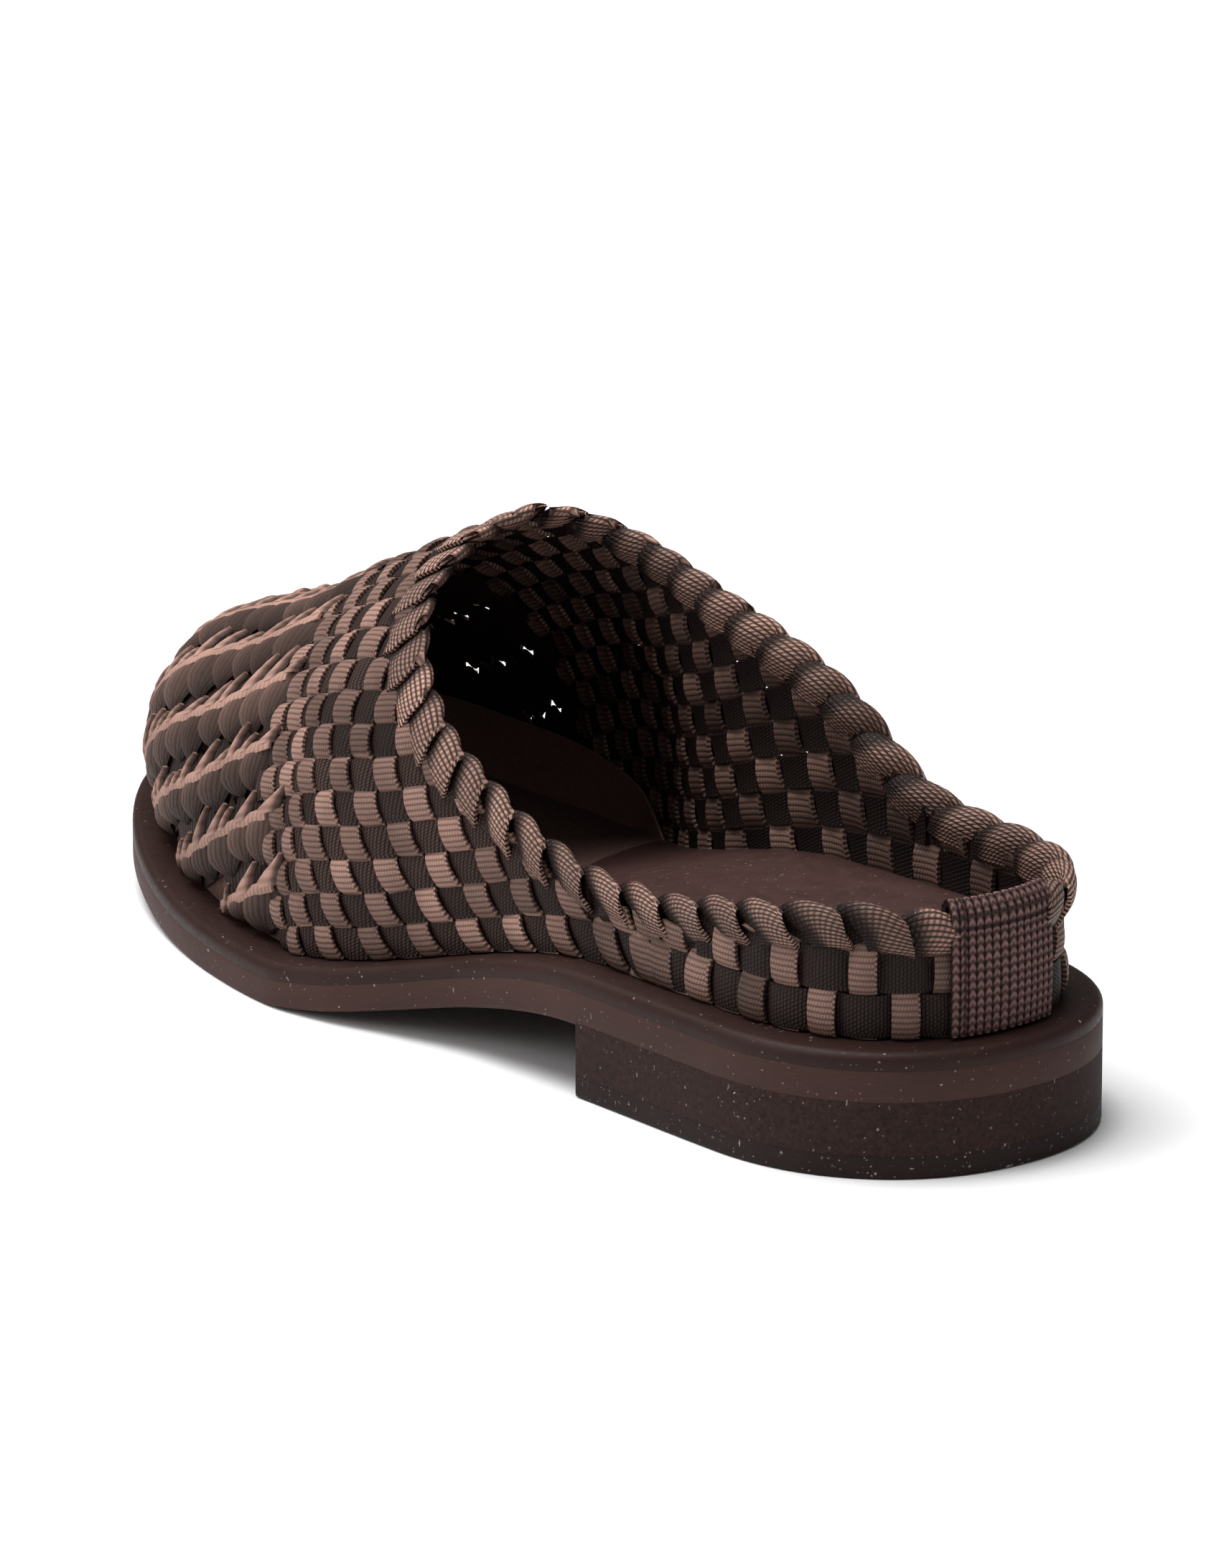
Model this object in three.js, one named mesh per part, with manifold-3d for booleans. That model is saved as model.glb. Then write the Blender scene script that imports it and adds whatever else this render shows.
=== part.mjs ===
// Woven mule for the left foot: stacked sole, heel, insole, woven upper and heel tab.
// Millimetres, +Z up, toe to +Y, inner side of the foot to +X.
import * as THREE from "three";
import Module from "manifold-3d";

// Sole outline, with the heel back at y = 0
const LENGTH = 260;
const HEEL_ROUND = 40;
const BALL = 158.6;
const TOE_SWING = 10.3;
const SWING_FROM = 78;
const HEEL_POWER = 2.16;
const TOE_POWER = { outer: 1.8, inner: 2.1 };
const HALF_WIDTHS = [
  { y: 40, outer: 37.8, inner: 37.8 },
  { y: 85, outer: 37.2, inner: 35.6 },
  { y: 110, outer: 38.4, inner: 34.2 },
  { y: 128, outer: 43, inner: 37.4 },
  { y: 145, outer: 48.8, inner: 43.4 },
  { y: 158.6, outer: 51.3, inner: 46.4 },
];
const WIDEST = HALF_WIDTHS[HALF_WIDTHS.length - 1];
const HEEL_SHARE = 0.2;
const BALL_SHARE = 0.59;

// Sole heights above the floor
const HEEL_BREAST = 79;
const HEEL_RISE = 13.3;
const TOP_PIECE = 4.2;
const OUTSOLE_HEEL = 6.4;
const OUTSOLE_TOE = 5.2;
const WELT = 3.2;
const ARCH_END = 164;
const FLAT_END = 182;
const TOE_SPRING = 10;
const SEAM = 0.2;
const WELT_ROUND = 1.8;

// Upper, measured on its smooth outer face
const INSET = 6.8;
const WALL = 1.5;
const CLEAR = 0.3;
const ROWS = 12;
const TAPE_PITCH = 7.6;
const GATHER_PITCH = 5.8;
const GATHER_FROM = 187;
const TOE_STEP = 0.4;
const POLE_Y = HEEL_ROUND;
const TOE_BOX_FROM = 200;
const TOE_BOX_POWER = 4;
const BULGE_FADE = 0.93;
const RIDGE = [
  { y: 40, z: 106, power: 2.3, bulge: 0 },
  { y: 100, z: 104, power: 2.3, bulge: 0 },
  { y: 125, z: 97, power: 2.15, bulge: 0.5 },
  { y: 142, z: 89, power: 2.05, bulge: 1.5 },
  { y: 155, z: 84, power: 2.05, bulge: 2 },
  { y: 169, z: 78, power: 2.1, bulge: 2.5 },
  { y: 182, z: 71.5, power: 2.15, bulge: 3 },
  { y: 201, z: 62.5, power: 2.25, bulge: 3.4 },
  { y: 219, z: 57, power: 2.4, bulge: 3.6 },
  { y: 235, z: 53, power: 2.5, bulge: 3.6 },
  { y: 254, z: 49, power: 2.5, bulge: 3.6 },
];
const COLLAR = {
  outer: [
    { y: -12, z: 44 }, { y: 8, z: 44 }, { y: 20, z: 45.5 }, { y: 44, z: 42 }, { y: 62, z: 38.5 },
    { y: 76, z: 38 }, { y: 90, z: 39.5 }, { y: 105, z: 44 }, { y: 117, z: 50 },
    { y: 126, z: 56 }, { y: 133, z: 63 }, { y: 139, z: 70 }, { y: 144, z: 78 },
    { y: 146, z: 86 }, { y: 146, z: 95 },
  ],
  inner: [
    { y: -12, z: 44 }, { y: 8, z: 44 }, { y: 25, z: 45 }, { y: 44, z: 45.5 }, { y: 60, z: 48 },
    { y: 70, z: 54.5 }, { y: 77, z: 60.5 }, { y: 85, z: 65.5 }, { y: 95, z: 70 }, { y: 106, z: 74 },
    { y: 117, z: 78 }, { y: 128, z: 82 }, { y: 138, z: 85.5 }, { y: 145, z: 88.5 },
    { y: 147, z: 95 },
  ],
};
const SCALLOP = 1.6;
const SCALLOP_PITCH = 8.4;
const CROSS_RAISE = 1.3;
const LENGTH_RAISE = 0.6;
const CORNER_DIP = 0.25;
const GATHER_RAISE = [0, 0.8, 1.3, 0.8];
const GAP_ROWS = [4, 6, 8, 10];
const GAP_END = 232;
const GAP_LENGTH = 2.6;
const GAP_HEIGHT = 2.2;

// Heel tab folded over the collar, and the insole
const TAB_HALF = 13;
const TAB_THICK = 1.5;
const TAB_FLAP = 14;
const TAB_CLEAR = 0.5;
const INSOLE_THICK = 9.2;

const wasm = await Module();
wasm.setup();

function smooth(u) {
  const t = THREE.MathUtils.clamp(u, 0, 1);
  return t * t * (3 - 2 * t);
}

// Smooth reading of one column of a table, without overshoot
function read(table, column, y) {
  const last = table.length - 1;
  const clamped = THREE.MathUtils.clamp(y, table[0].y, table[last].y);
  let k = 0;
  while (k < last - 1 && clamped > table[k + 1].y) k += 1;
  const slope = (i) => (table[i + 1][column] - table[i][column]) / (table[i + 1].y - table[i].y);
  const lean = (i) => {
    if (i === 0 || i === last) return 0;
    const a = slope(i - 1);
    const b = slope(i);
    return a * b > 0 ? (2 * a * b) / (a + b) : 0;
  };
  const h = table[k + 1].y - table[k].y;
  const t = (clamped - table[k].y) / h;
  const rise = smooth(t);
  const start = table[k][column] * (1 - rise) + table[k + 1][column] * rise;
  return start + h * (lean(k) * t * (1 - t) ** 2 - lean(k + 1) * t * t * (1 - t));
}

function centre(y) {
  return TOE_SWING * smooth((y - SWING_FROM) / (LENGTH - SWING_FROM));
}

// Underside of the sole: heel, arch, flat tread and toe spring
function base(y) {
  if (y < ARCH_END) return HEEL_RISE * smooth((ARCH_END - y) / (ARCH_END - HEEL_BREAST));
  if (y < FLAT_END) return 0;
  return TOE_SPRING * ((y - FLAT_END) / (LENGTH - FLAT_END)) ** 2;
}

// Heights of the seam above the outsole and of the welt's top
function seam(y) {
  return base(y) + OUTSOLE_HEEL + (OUTSOLE_TOE - OUTSOLE_HEEL) * smooth((y - HEEL_BREAST) / 60);
}

function welt(y) {
  return seam(y) + WELT;
}

// A point on the outline grown by `grow`; share runs from heel back (0) to toe tip (1)
function edge(side, share, grow) {
  const column = side < 0 ? "outer" : "inner";
  let y;
  let half;
  if (share < HEEL_SHARE) {
    const turn = (Math.PI / 2) * (1 - share / HEEL_SHARE);
    y = HEEL_ROUND - (HEEL_ROUND + grow) * Math.sin(turn) ** (2 / HEEL_POWER);
    half = (HALF_WIDTHS[0][column] + grow) * Math.max(Math.cos(turn), 0) ** (2 / HEEL_POWER);
  } else if (share < BALL_SHARE) {
    y = HEEL_ROUND + ((BALL - HEEL_ROUND) * (share - HEEL_SHARE)) / (BALL_SHARE - HEEL_SHARE);
    half = read(HALF_WIDTHS, column, y) + grow;
  } else {
    const turn = ((Math.PI / 2) * (share - BALL_SHARE)) / (1 - BALL_SHARE);
    y = BALL + (LENGTH + grow - BALL) * Math.sin(turn) ** (2 / TOE_POWER.outer);
    const left = 1 - ((y - BALL) / (LENGTH + grow - BALL)) ** TOE_POWER[column];
    half = (WIDEST[column] + grow) * Math.max(left, 0) ** (1 / TOE_POWER[column]);
  }
  if (share <= 0 || share >= 1) half = 0;
  return { x: centre(y) + side * half, y };
}

function feather(y) {
  return welt(y) + CLEAR;
}

function ridge(y) {
  const tip = LENGTH - INSET;
  const u = THREE.MathUtils.clamp((y - TOE_BOX_FROM) / (tip - TOE_BOX_FROM), 0, 1);
  const blunt = (1 - u ** TOE_BOX_POWER) ** (1 / TOE_BOX_POWER);
  return feather(y) + (read(RIDGE, "z", y) - feather(y)) * blunt;
}

// Quarter arch of width w and height h, read at an even share of its length
function arch(w, h, power, a) {
  const steps = 32;
  const at = (k) => {
    const turn = (Math.PI / 2) * (k / steps);
    return {
      in: w * (1 - Math.max(Math.cos(turn), 0) ** (2 / power)),
      up: h * Math.sin(turn) ** (2 / power),
    };
  };
  const points = Array.from({ length: steps + 1 }, (_, k) => at(k));
  points[steps] = { in: w, up: h };
  const run = [0];
  for (let k = 1; k <= steps; k += 1) {
    run.push(run[k - 1] + Math.hypot(points[k].in - points[k - 1].in, points[k].up - points[k - 1].up));
  }
  const want = a * run[steps];
  let k = 1;
  while (k < steps && run[k] < want) k += 1;
  const span = run[k] - run[k - 1];
  const t = span > 0 ? (want - run[k - 1]) / span : 0;
  return {
    in: points[k - 1].in + (points[k].in - points[k - 1].in) * t,
    up: points[k - 1].up + (points[k].up - points[k - 1].up) * t,
  };
}

// Smooth outer face of the upper: `a` runs from the sole (0) to the ridge (1)
function face(side, share, a) {
  const foot = edge(side, share, -INSET);
  const fan = share < HEEL_SHARE;
  const crest = fan ? POLE_Y : foot.y;
  const w = Math.hypot(centre(crest) - foot.x, crest - foot.y);
  const low = feather(foot.y);
  const q = arch(w, ridge(crest) - low, read(RIDGE, "power", crest), a);
  const t = w > 0 ? q.in / w : 1;
  const near = edge(side, Math.min(share + 0.001, 1), -INSET);
  const far = edge(side, Math.max(share - 0.001, 0), -INSET);
  const run = Math.hypot(near.x - far.x, near.y - far.y);
  const fade = 1 - smooth((share - BULGE_FADE) / (1 - BULGE_FADE));
  const out = (1.5 * read(RIDGE, "bulge", crest) * fade * Math.sin(Math.PI * a) * (1 - a)) / run;
  return new THREE.Vector3(
    foot.x + (centre(crest) - foot.x) * t + side * (near.y - far.y) * out,
    foot.y + (crest - foot.y) * t - side * (near.x - far.x) * out,
    low + q.up,
  );
}

function normal(side, share, a) {
  if (share >= 1) return new THREE.Vector3(0, 1, 0);
  if (share < HEEL_SHARE && a >= 1) return new THREE.Vector3(0, 0, 1);
  const step = 0.002;
  const s0 = Math.max(share - step, 0);
  const s1 = Math.min(share + step, 1);
  const along = face(side, s1, a).sub(face(side, s0, a));
  const up = face(side, share, Math.min(a + 0.01, 1)).sub(face(side, share, Math.max(a - 0.01, 0)));
  if (a >= 1) up.set(-side, 0, 0);
  const n = along.cross(up).multiplyScalar(side);
  if (share <= 0) n.x = 0;
  return n.normalize();
}

// Collects triangles on shared corners
class Skin {
  constructor() {
    this.corners = [];
    this.index = new Map();
    this.faces = [];
  }

  corner(p) {
    const key = [p.x, p.y, p.z].map((v) => Math.round(v * 1000)).join(" ");
    if (!this.index.has(key)) {
      this.index.set(key, this.corners.length);
      this.corners.push(p);
    }
    return this.index.get(key);
  }

  triangle(a, b, c) {
    const ids = [a, b, c].map((p) => this.corner(p));
    if (new Set(ids).size === 3) this.faces.push(ids);
  }

  quad(a, b, c, d, flip = false) {
    if (flip) {
      this.triangle(a, b, d);
      this.triangle(b, c, d);
    } else {
      this.triangle(a, b, c);
      this.triangle(a, c, d);
    }
  }

  body() {
    const mesh = new wasm.Mesh({
      numProp: 3,
      vertProperties: new Float32Array(this.corners.flatMap((p) => [p.x, p.y, p.z])),
      triVerts: new Uint32Array(this.faces.flat()),
    });
    return new wasm.Manifold(mesh);
  }
}

// Shares of the outline at even steps from heel back to toe tip, wider apart across the toe
function stations(step) {
  const fine = 2000;
  const list = [0];
  let run = 0;
  let prior = edge(-1, 0, -INSET);
  for (let k = 1; k <= fine; k += 1) {
    const share = k / fine;
    const here = edge(-1, share, -INSET);
    const across = here.y > BALL ? TOE_STEP * (here.x - prior.x) : here.x - prior.x;
    run += Math.hypot(across, here.y - prior.y);
    prior = here;
    if (run >= step(here.y)) {
      list.push(share);
      run = 0;
    }
  }
  if (1 - list[list.length - 1] < 0.006) list.pop();
  list.push(1);
  return list;
}

// A closed form on the upper's own face: `raise` gives the outward step of each corner
function form(shares, rows, raise, drop) {
  const skin = new Skin();
  const point = (side, i, j) => {
    const a = j / rows;
    const n = normal(side, shares[i], a);
    const p = face(side, shares[i], a).addScaledVector(n, raise(i, j));
    if (j === 0) p.z = face(side, shares[i], 0).z - drop;
    return p;
  };
  for (const side of [-1, 1]) {
    const grid = shares.map((_, i) => Array.from({ length: rows + 1 }, (__, j) => point(side, i, j)));
    for (let i = 0; i < shares.length - 1; i += 1) {
      for (let j = 0; j < rows; j += 1) {
        const ring = [grid[i][j], grid[i + 1][j], grid[i + 1][j + 1], grid[i][j + 1]];
        const flip = (i + j) % 2 === 1;
        if (side < 0) skin.quad(ring[3], ring[2], ring[1], ring[0], flip);
        else skin.quad(ring[0], ring[1], ring[2], ring[3], flip);
      }
    }
  }
  for (let i = 0; i < shares.length - 1; i += 1) {
    skin.quad(point(-1, i, 0), point(-1, i + 1, 0), point(1, i + 1, 0), point(1, i, 0));
  }
  return skin.body();
}

// A prism along X over a side profile
function prism(profile, x0, x1) {
  const shape = profile.map((p) => new THREE.Vector2(p.y, p.z));
  if (THREE.ShapeUtils.isClockWise(shape)) shape.reverse();
  const skin = new Skin();
  const at = (v, x) => new THREE.Vector3(x, v.x, v.y);
  for (const [a, b, c] of THREE.ShapeUtils.triangulateShape(shape, [])) {
    skin.triangle(at(shape[a], x1), at(shape[b], x1), at(shape[c], x1));
    skin.triangle(at(shape[c], x0), at(shape[b], x0), at(shape[a], x0));
  }
  shape.forEach((v, k) => {
    const next = shape[(k + 1) % shape.length];
    skin.quad(at(v, x0), at(next, x0), at(next, x1), at(v, x1));
  });
  return skin.body();
}

// Collar line with its scallops, one round top for each folded tape
function collarLine(column, rise) {
  const curve = new THREE.CatmullRomCurve3(COLLAR[column].map((p) => new THREE.Vector3(0, p.y, p.z)));
  const length = curve.getLength();
  const bumps = Math.round(length / SCALLOP_PITCH);
  const count = bumps * 3;
  return Array.from({ length: count + 1 }, (_, k) => {
    const p = curve.getPointAt(k / count);
    const t = curve.getTangentAt(k / count);
    const wave = Math.abs(Math.sin((Math.PI * bumps * k) / count)) * SCALLOP + rise;
    return { y: p.y - t.z * wave, z: p.z + t.y * wave };
  });
}

function collarCutter(side, rise) {
  const column = side < 0 ? "outer" : "inner";
  const line = collarLine(column, rise);
  const end = line[line.length - 1];
  const profile = [...line, { y: end.y, z: 140 }, { y: -30, z: 140 }, { y: -30, z: line[0].z }];
  const middle = centre(BALL - 16);
  return side < 0 ? prism(profile, -90, middle) : prism(profile, middle, 90);
}

// A small wedge-sided opening across the wall
function gap(side, share, a) {
  const p = face(side, share, a);
  const n = normal(side, share, a);
  const along = face(side, Math.min(share + 0.004, 1), a).sub(face(side, share - 0.004, a)).normalize();
  const up = new THREE.Vector3().crossVectors(n, along);
  const skin = new Skin();
  const at = (x, y, z) => p.clone().addScaledVector(along, x).addScaledVector(up, y).addScaledVector(n, z);
  const ring = [[-1, 0], [0, -1], [1, 0], [0, 1]];
  const low = ring.map(([x, y]) => at((x * GAP_LENGTH) / 2, (y * GAP_HEIGHT) / 2, -WALL - 3));
  const high = ring.map(([x, y]) => at((x * GAP_LENGTH) / 2, (y * GAP_HEIGHT) / 2, 4));
  skin.quad(high[0], high[1], high[2], high[3]);
  skin.quad(low[3], low[2], low[1], low[0]);
  ring.forEach((_, k) => {
    const next = (k + 1) % 4;
    skin.quad(low[k], low[next], high[next], high[k]);
  });
  return skin.body();
}

// Raised strips: tapes crossing on the sides, gathered leaves on the toe
function weave(shares) {
  const feet = shares.map((s) => edge(-1, s, -INSET));
  const gathered = feet.map((p) => p.y > GATHER_FROM);
  const covered = feet.map((p) => p.y < HEEL_ROUND && Math.abs(p.x) < TAB_HALF + 2);
  return (i, j) => {
    if (j === 0 || covered[i] || i >= shares.length - 2) return 0;
    const onTape = i % 2 === 1;
    if (gathered[i]) return GATHER_RAISE[j % 4] * (onTape ? 1 : 0.45);
    if (onTape && j % 2 === 1) return ((i + j) / 2) % 2 === 0 ? CROSS_RAISE : LENGTH_RAISE;
    return onTape || j % 2 === 1 ? 0 : -CORNER_DIP;
  };
}

function upper() {
  const shares = stations((y) => (y > GATHER_FROM ? GATHER_PITCH : TAPE_PITCH) / 2);
  const outside = form(shares, ROWS * 2, weave(shares), 0);
  const coarse = stations((y) => (y > 225 ? 7 : 10));
  const inside = form(coarse, 10, () => -WALL, 6);
  let wall = outside.subtract(inside);
  for (const side of [-1, 1]) wall = wall.subtract(collarCutter(side, 0));
  const gaps = [];
  shares.forEach((share, i) => {
    const y = edge(-1, share, -INSET).y;
    if (i % 2 === 1 || y < GATHER_FROM + 2 || y > GAP_END) return;
    for (const side of [-1, 1]) {
      for (const row of GAP_ROWS) gaps.push(gap(side, share, row / ROWS));
    }
  });
  return wall.subtract(wasm.Manifold.union(gaps));
}

function heelTab() {
  const shares = stations(() => 7);
  const grown = (step, drop) => form(shares, 12, () => step, drop);
  const reach = TAB_CLEAR;
  const depth = WALL + TAB_CLEAR;
  let tab = grown(reach + TAB_THICK, 0).subtract(grown(-depth - TAB_THICK, 6));
  const top = COLLAR.outer[0].z + SCALLOP + CLEAR;
  const slot = [{ y: -20, z: 0 }, { y: 40, z: 0 }, { y: 40, z: top }, { y: -20, z: top }];
  const space = grown(reach, 6).subtract(grown(-depth, 6));
  tab = tab.subtract(space.intersect(prism(slot, -90, 90)));
  const lid = top + TAB_THICK;
  const low = feather(0) + 0.2;
  const outline = [{ y: -20, z: low }, { y: 20, z: low }, { y: 20, z: lid }, { y: -20, z: lid }];
  tab = tab.intersect(prism(outline, -TAB_HALF, TAB_HALF));
  const foot = lid - TAB_FLAP;
  const under = [{ y: -20, z: 0 }, { y: 60, z: 0 }, { y: 60, z: foot }, { y: -20, z: foot }];
  return tab.subtract(grown(-depth + 0.1, 6).intersect(prism(under, -90, 90)));
}

// A sole layer: rings of { grow, z } from the bottom up, capped across
function layer(rings, shares) {
  const skin = new Skin();
  const at = (ring, side, share) => {
    const p = edge(side, share, ring.grow);
    return new THREE.Vector3(p.x, p.y, ring.z(p.y));
  };
  for (let i = 0; i < shares.length - 1; i += 1) {
    const [s, t] = [shares[i], shares[i + 1]];
    for (let k = 0; k < rings.length - 1; k += 1) {
      const [low, high] = [rings[k], rings[k + 1]];
      skin.quad(at(high, -1, s), at(high, -1, t), at(low, -1, t), at(low, -1, s));
      skin.quad(at(low, 1, s), at(low, 1, t), at(high, 1, t), at(high, 1, s));
    }
    const [bottom, top] = [rings[0], rings[rings.length - 1]];
    skin.quad(at(bottom, -1, s), at(bottom, -1, t), at(bottom, 1, t), at(bottom, 1, s));
    skin.quad(at(top, 1, s), at(top, 1, t), at(top, -1, t), at(top, -1, s));
  }
  return skin.body();
}

const flat = (z) => () => z;
const above = (level, h) => (y) => level(y) + h;

// Layer cut square at the heel breast
function heelLayer(low, high) {
  const solid = layer([{ grow: 0, z: flat(low) }, { grow: 0, z: flat(high) }], stations(() => 6));
  const back = [{ y: -20, z: -5 }, { y: HEEL_BREAST, z: -5 }, { y: HEEL_BREAST, z: 40 }, { y: -20, z: 40 }];
  return solid.intersect(prism(back, -90, 90));
}

function outsole() {
  const rings = [
    { grow: -1, z: above(base, 0) },
    { grow: 0, z: above(base, 0.8) },
    { grow: 0, z: above(seam, -SEAM) },
  ];
  return layer(rings, stations(() => 6));
}

function midsole() {
  const rings = [{ grow: 0, z: above(seam, 0) }];
  for (const turn of [0, 30, 60, 90]) {
    const t = THREE.MathUtils.degToRad(turn);
    rings.push({
      grow: WELT_ROUND * (Math.cos(t) - 1),
      z: above(welt, -WELT_ROUND * (1 - Math.sin(t))),
    });
  }
  return layer(rings, stations(() => 6));
}

function insole() {
  const grow = -INSET - WALL - 1.1;
  const rings = [
    { grow, z: above(feather, 0) },
    { grow, z: above(feather, INSOLE_THICK - 0.8) },
    { grow: grow - 0.8, z: above(feather, INSOLE_THICK) },
  ];
  return layer(rings, stations(() => 7));
}

function meshOf(body, name, look) {
  const data = body.getMesh();
  const geometry = new THREE.BufferGeometry();
  const positions = new Float32Array(data.numVert * 3);
  for (let k = 0; k < data.numVert; k += 1) {
    for (let c = 0; c < 3; c += 1) positions[k * 3 + c] = data.vertProperties[k * data.numProp + c];
  }
  geometry.setAttribute("position", new THREE.BufferAttribute(positions, 3));
  geometry.setIndex(new THREE.BufferAttribute(new Uint32Array(data.triVerts), 1));
  geometry.computeVertexNormals();
  const material = new THREE.MeshStandardMaterial({ ...look, metalness: 0, flatShading: true });
  const mesh = new THREE.Mesh(geometry, material);
  mesh.name = name;
  return mesh;
}

const NODES = [
  { name: "heel_top_piece", body: heelLayer(0, TOP_PIECE), color: 0x2e2422, roughness: 0.8 },
  { name: "heel_block", body: heelLayer(TOP_PIECE + SEAM, HEEL_RISE - SEAM), color: 0x3a2a26, roughness: 0.9 },
  { name: "outsole", body: outsole(), color: 0x302623, roughness: 0.75 },
  { name: "midsole", body: midsole(), color: 0x46352d, roughness: 0.65 },
  { name: "insole", body: insole(), color: 0x3b2823, roughness: 0.6 },
  { name: "upper", body: upper(), color: 0x4f3d34, roughness: 0.7 },
  { name: "heel_tab", body: heelTab(), color: 0x463632, roughness: 0.85 },
];

const part = new THREE.Group();
part.name = "woven_mule";
for (const { name, body, color, roughness } of NODES) part.add(meshOf(body, name, { color, roughness }));

// The origin is the middle of the footprint, on the floor
const box = new THREE.Box3().setFromObject(part);
const middle = box.getCenter(new THREE.Vector3());
for (const mesh of part.children) mesh.geometry.translate(-middle.x, -middle.y, -box.min.z);

export default part;
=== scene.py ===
# Woven mule for the left foot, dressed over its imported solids.
import math

import bmesh
import bpy
import numpy as np
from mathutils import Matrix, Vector


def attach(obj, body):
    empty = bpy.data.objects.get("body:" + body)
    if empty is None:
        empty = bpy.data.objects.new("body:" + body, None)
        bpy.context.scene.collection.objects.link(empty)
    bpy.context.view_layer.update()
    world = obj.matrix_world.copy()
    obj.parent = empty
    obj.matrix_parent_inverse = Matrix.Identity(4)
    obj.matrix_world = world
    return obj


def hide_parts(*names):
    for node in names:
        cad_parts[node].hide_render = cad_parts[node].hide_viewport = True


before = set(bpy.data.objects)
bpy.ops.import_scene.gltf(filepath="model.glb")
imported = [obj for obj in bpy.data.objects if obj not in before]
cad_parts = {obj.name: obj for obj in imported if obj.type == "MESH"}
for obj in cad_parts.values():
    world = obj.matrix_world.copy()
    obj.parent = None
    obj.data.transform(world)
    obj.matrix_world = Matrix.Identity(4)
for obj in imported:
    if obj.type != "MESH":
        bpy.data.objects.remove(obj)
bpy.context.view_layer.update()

# Sole, last and collar in millimetres, as in the solids: heel back at y = 0, floor at z = 0
LENGTH = 260
HEEL_ROUND = 40
BALL = 158.6
TOE_SWING = 10.3
SWING_FROM = 78
HEEL_POWER = 2.16
TOE_POWER = {-1: 1.8, 1: 2.1}
HALF_WIDTHS = [
    {"y": HEEL_ROUND, -1: 37.8, 1: 37.8},
    {"y": 85, -1: 37.2, 1: 35.6},
    {"y": 110, -1: 38.4, 1: 34.2},
    {"y": 128, -1: 43.0, 1: 37.4},
    {"y": 145, -1: 48.8, 1: 43.4},
    {"y": BALL, -1: 51.3, 1: 46.4},
]
HEEL_SHARE = 0.2
BALL_SHARE = 0.59
HEEL_BREAST = 79
HEEL_RISE = 13.3
TOP_PIECE = 4.2
OUTSOLE_HEEL = 6.4
OUTSOLE_TOE = 5.2
OUTSOLE_TAPER = 60
WELT = 3.2
ARCH_END = 164
FLAT_END = 182
TOE_SPRING = 10
INSET = 6.8
CLEAR = 0.3
INSOLE_THICK = 9.2
GATHER_FROM = 187
TOE_BOX_FROM = 200
TOE_BOX_POWER = 4
BULGE_FADE = 0.93
BULGE_SCALE = 1.5
RIDGE = [
    {"y": 40, "z": 106, "power": 2.3, "bulge": 0},
    {"y": 100, "z": 104, "power": 2.3, "bulge": 0},
    {"y": 125, "z": 97, "power": 2.15, "bulge": 0.5},
    {"y": 142, "z": 89, "power": 2.05, "bulge": 1.5},
    {"y": 155, "z": 84, "power": 2.05, "bulge": 2},
    {"y": 169, "z": 78, "power": 2.1, "bulge": 2.5},
    {"y": 182, "z": 71.5, "power": 2.15, "bulge": 3},
    {"y": 201, "z": 62.5, "power": 2.25, "bulge": 3.4},
    {"y": 219, "z": 57, "power": 2.4, "bulge": 3.6},
    {"y": 235, "z": 53, "power": 2.5, "bulge": 3.6},
    {"y": 254, "z": 49, "power": 2.5, "bulge": 3.6},
]
COLLAR = {
    -1: [(-12, 44), (8, 44), (20, 45.5), (44, 42), (62, 38.5), (76, 38), (90, 39.5), (105, 44),
         (117, 50), (126, 56), (133, 63), (139, 70), (144, 78), (146, 86), (146, 95)],
    1: [(-12, 44), (8, 44), (25, 45), (44, 45.5), (60, 48), (70, 54.5), (77, 60.5), (85, 65.5),
        (95, 70), (106, 74), (117, 78), (128, 82), (138, 85.5), (145, 88.5), (147, 95)],
}

# Outer and inner side, the shoe point at the origin of the part's frame, and a millimetre in metres
SIDES = (-1, 1)
MIDDLE = np.array([2.272, LENGTH / 2, 0.0])
MM = 0.001

# Length of the sole edge, so of a share of 1, and of a girth on the tapes' maps
EDGE_LENGTH = 303.0
GIRTH_MAP = 95

# Tape: half of its width on its map, its thickness, and how far a fold may throw an inner corner
MAP_HALF = 3.6
TAPE_THICK = 0.8
SHARP_FOLD = 2.0
EVEN_TINT = 0.5

# Rows of the weave from sole to ridge, and where they fan out from heel to vamp
ROWS = 15
HEEL_ROWS = 12
FAN_FROM = 60
FAN_LENGTH = 65
TOE_LAP = 3
THROAT_LAP = 3

# Weave: widths in pitches, levels and waves in millimetres
WEAVE_LEVEL = -0.45
WAVE_POWER = 0.55
CROSS_WIDTH = 0.84
CROSS_WAVE = 1.05
CROSS_RAISE = 0.25
CROSS_BOW = 0.4
CROSS_TWIST = 0.16
CROSS_TINT = 0.32
CROSS_FADING = 0.78
# Inside factor: darkens the inner face of the cross tapes, painted shade inside the shoe
CROSS_INSIDE_SHADE = 0.75
CROSS_CELLS = 6
VAMP_STEPS = 170
SIDE_STEPS = 88
LEAST_STEPS = 10
LENGTH_WIDTH = 0.94
LENGTH_WAVE = 0.65
LENGTH_SINK = 0.1
LENGTH_BOW = 0.25
# Length tints run lower than the cross tapes' as painted shade of the lower, duller floats, and vary at
# random within the range
LENGTH_TINTS = (0.1, 0.4)
# Inside factor: darkens the inner face of the length tapes, painted shade inside the shoe
LENGTH_INSIDE_SHADE = 0.35
LENGTH_CELLS = 5
LENGTH_STEP = 1.1
SHORTEST_TAPE = 6
SOLE_TUCK = 0.006
COLLAR_ROOM = 0.03
ROW_ROOM = 0.01
RIDGE_STOP = 0.985
GIRTH_STEPS = 401
ROW_STEPS = 900

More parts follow.
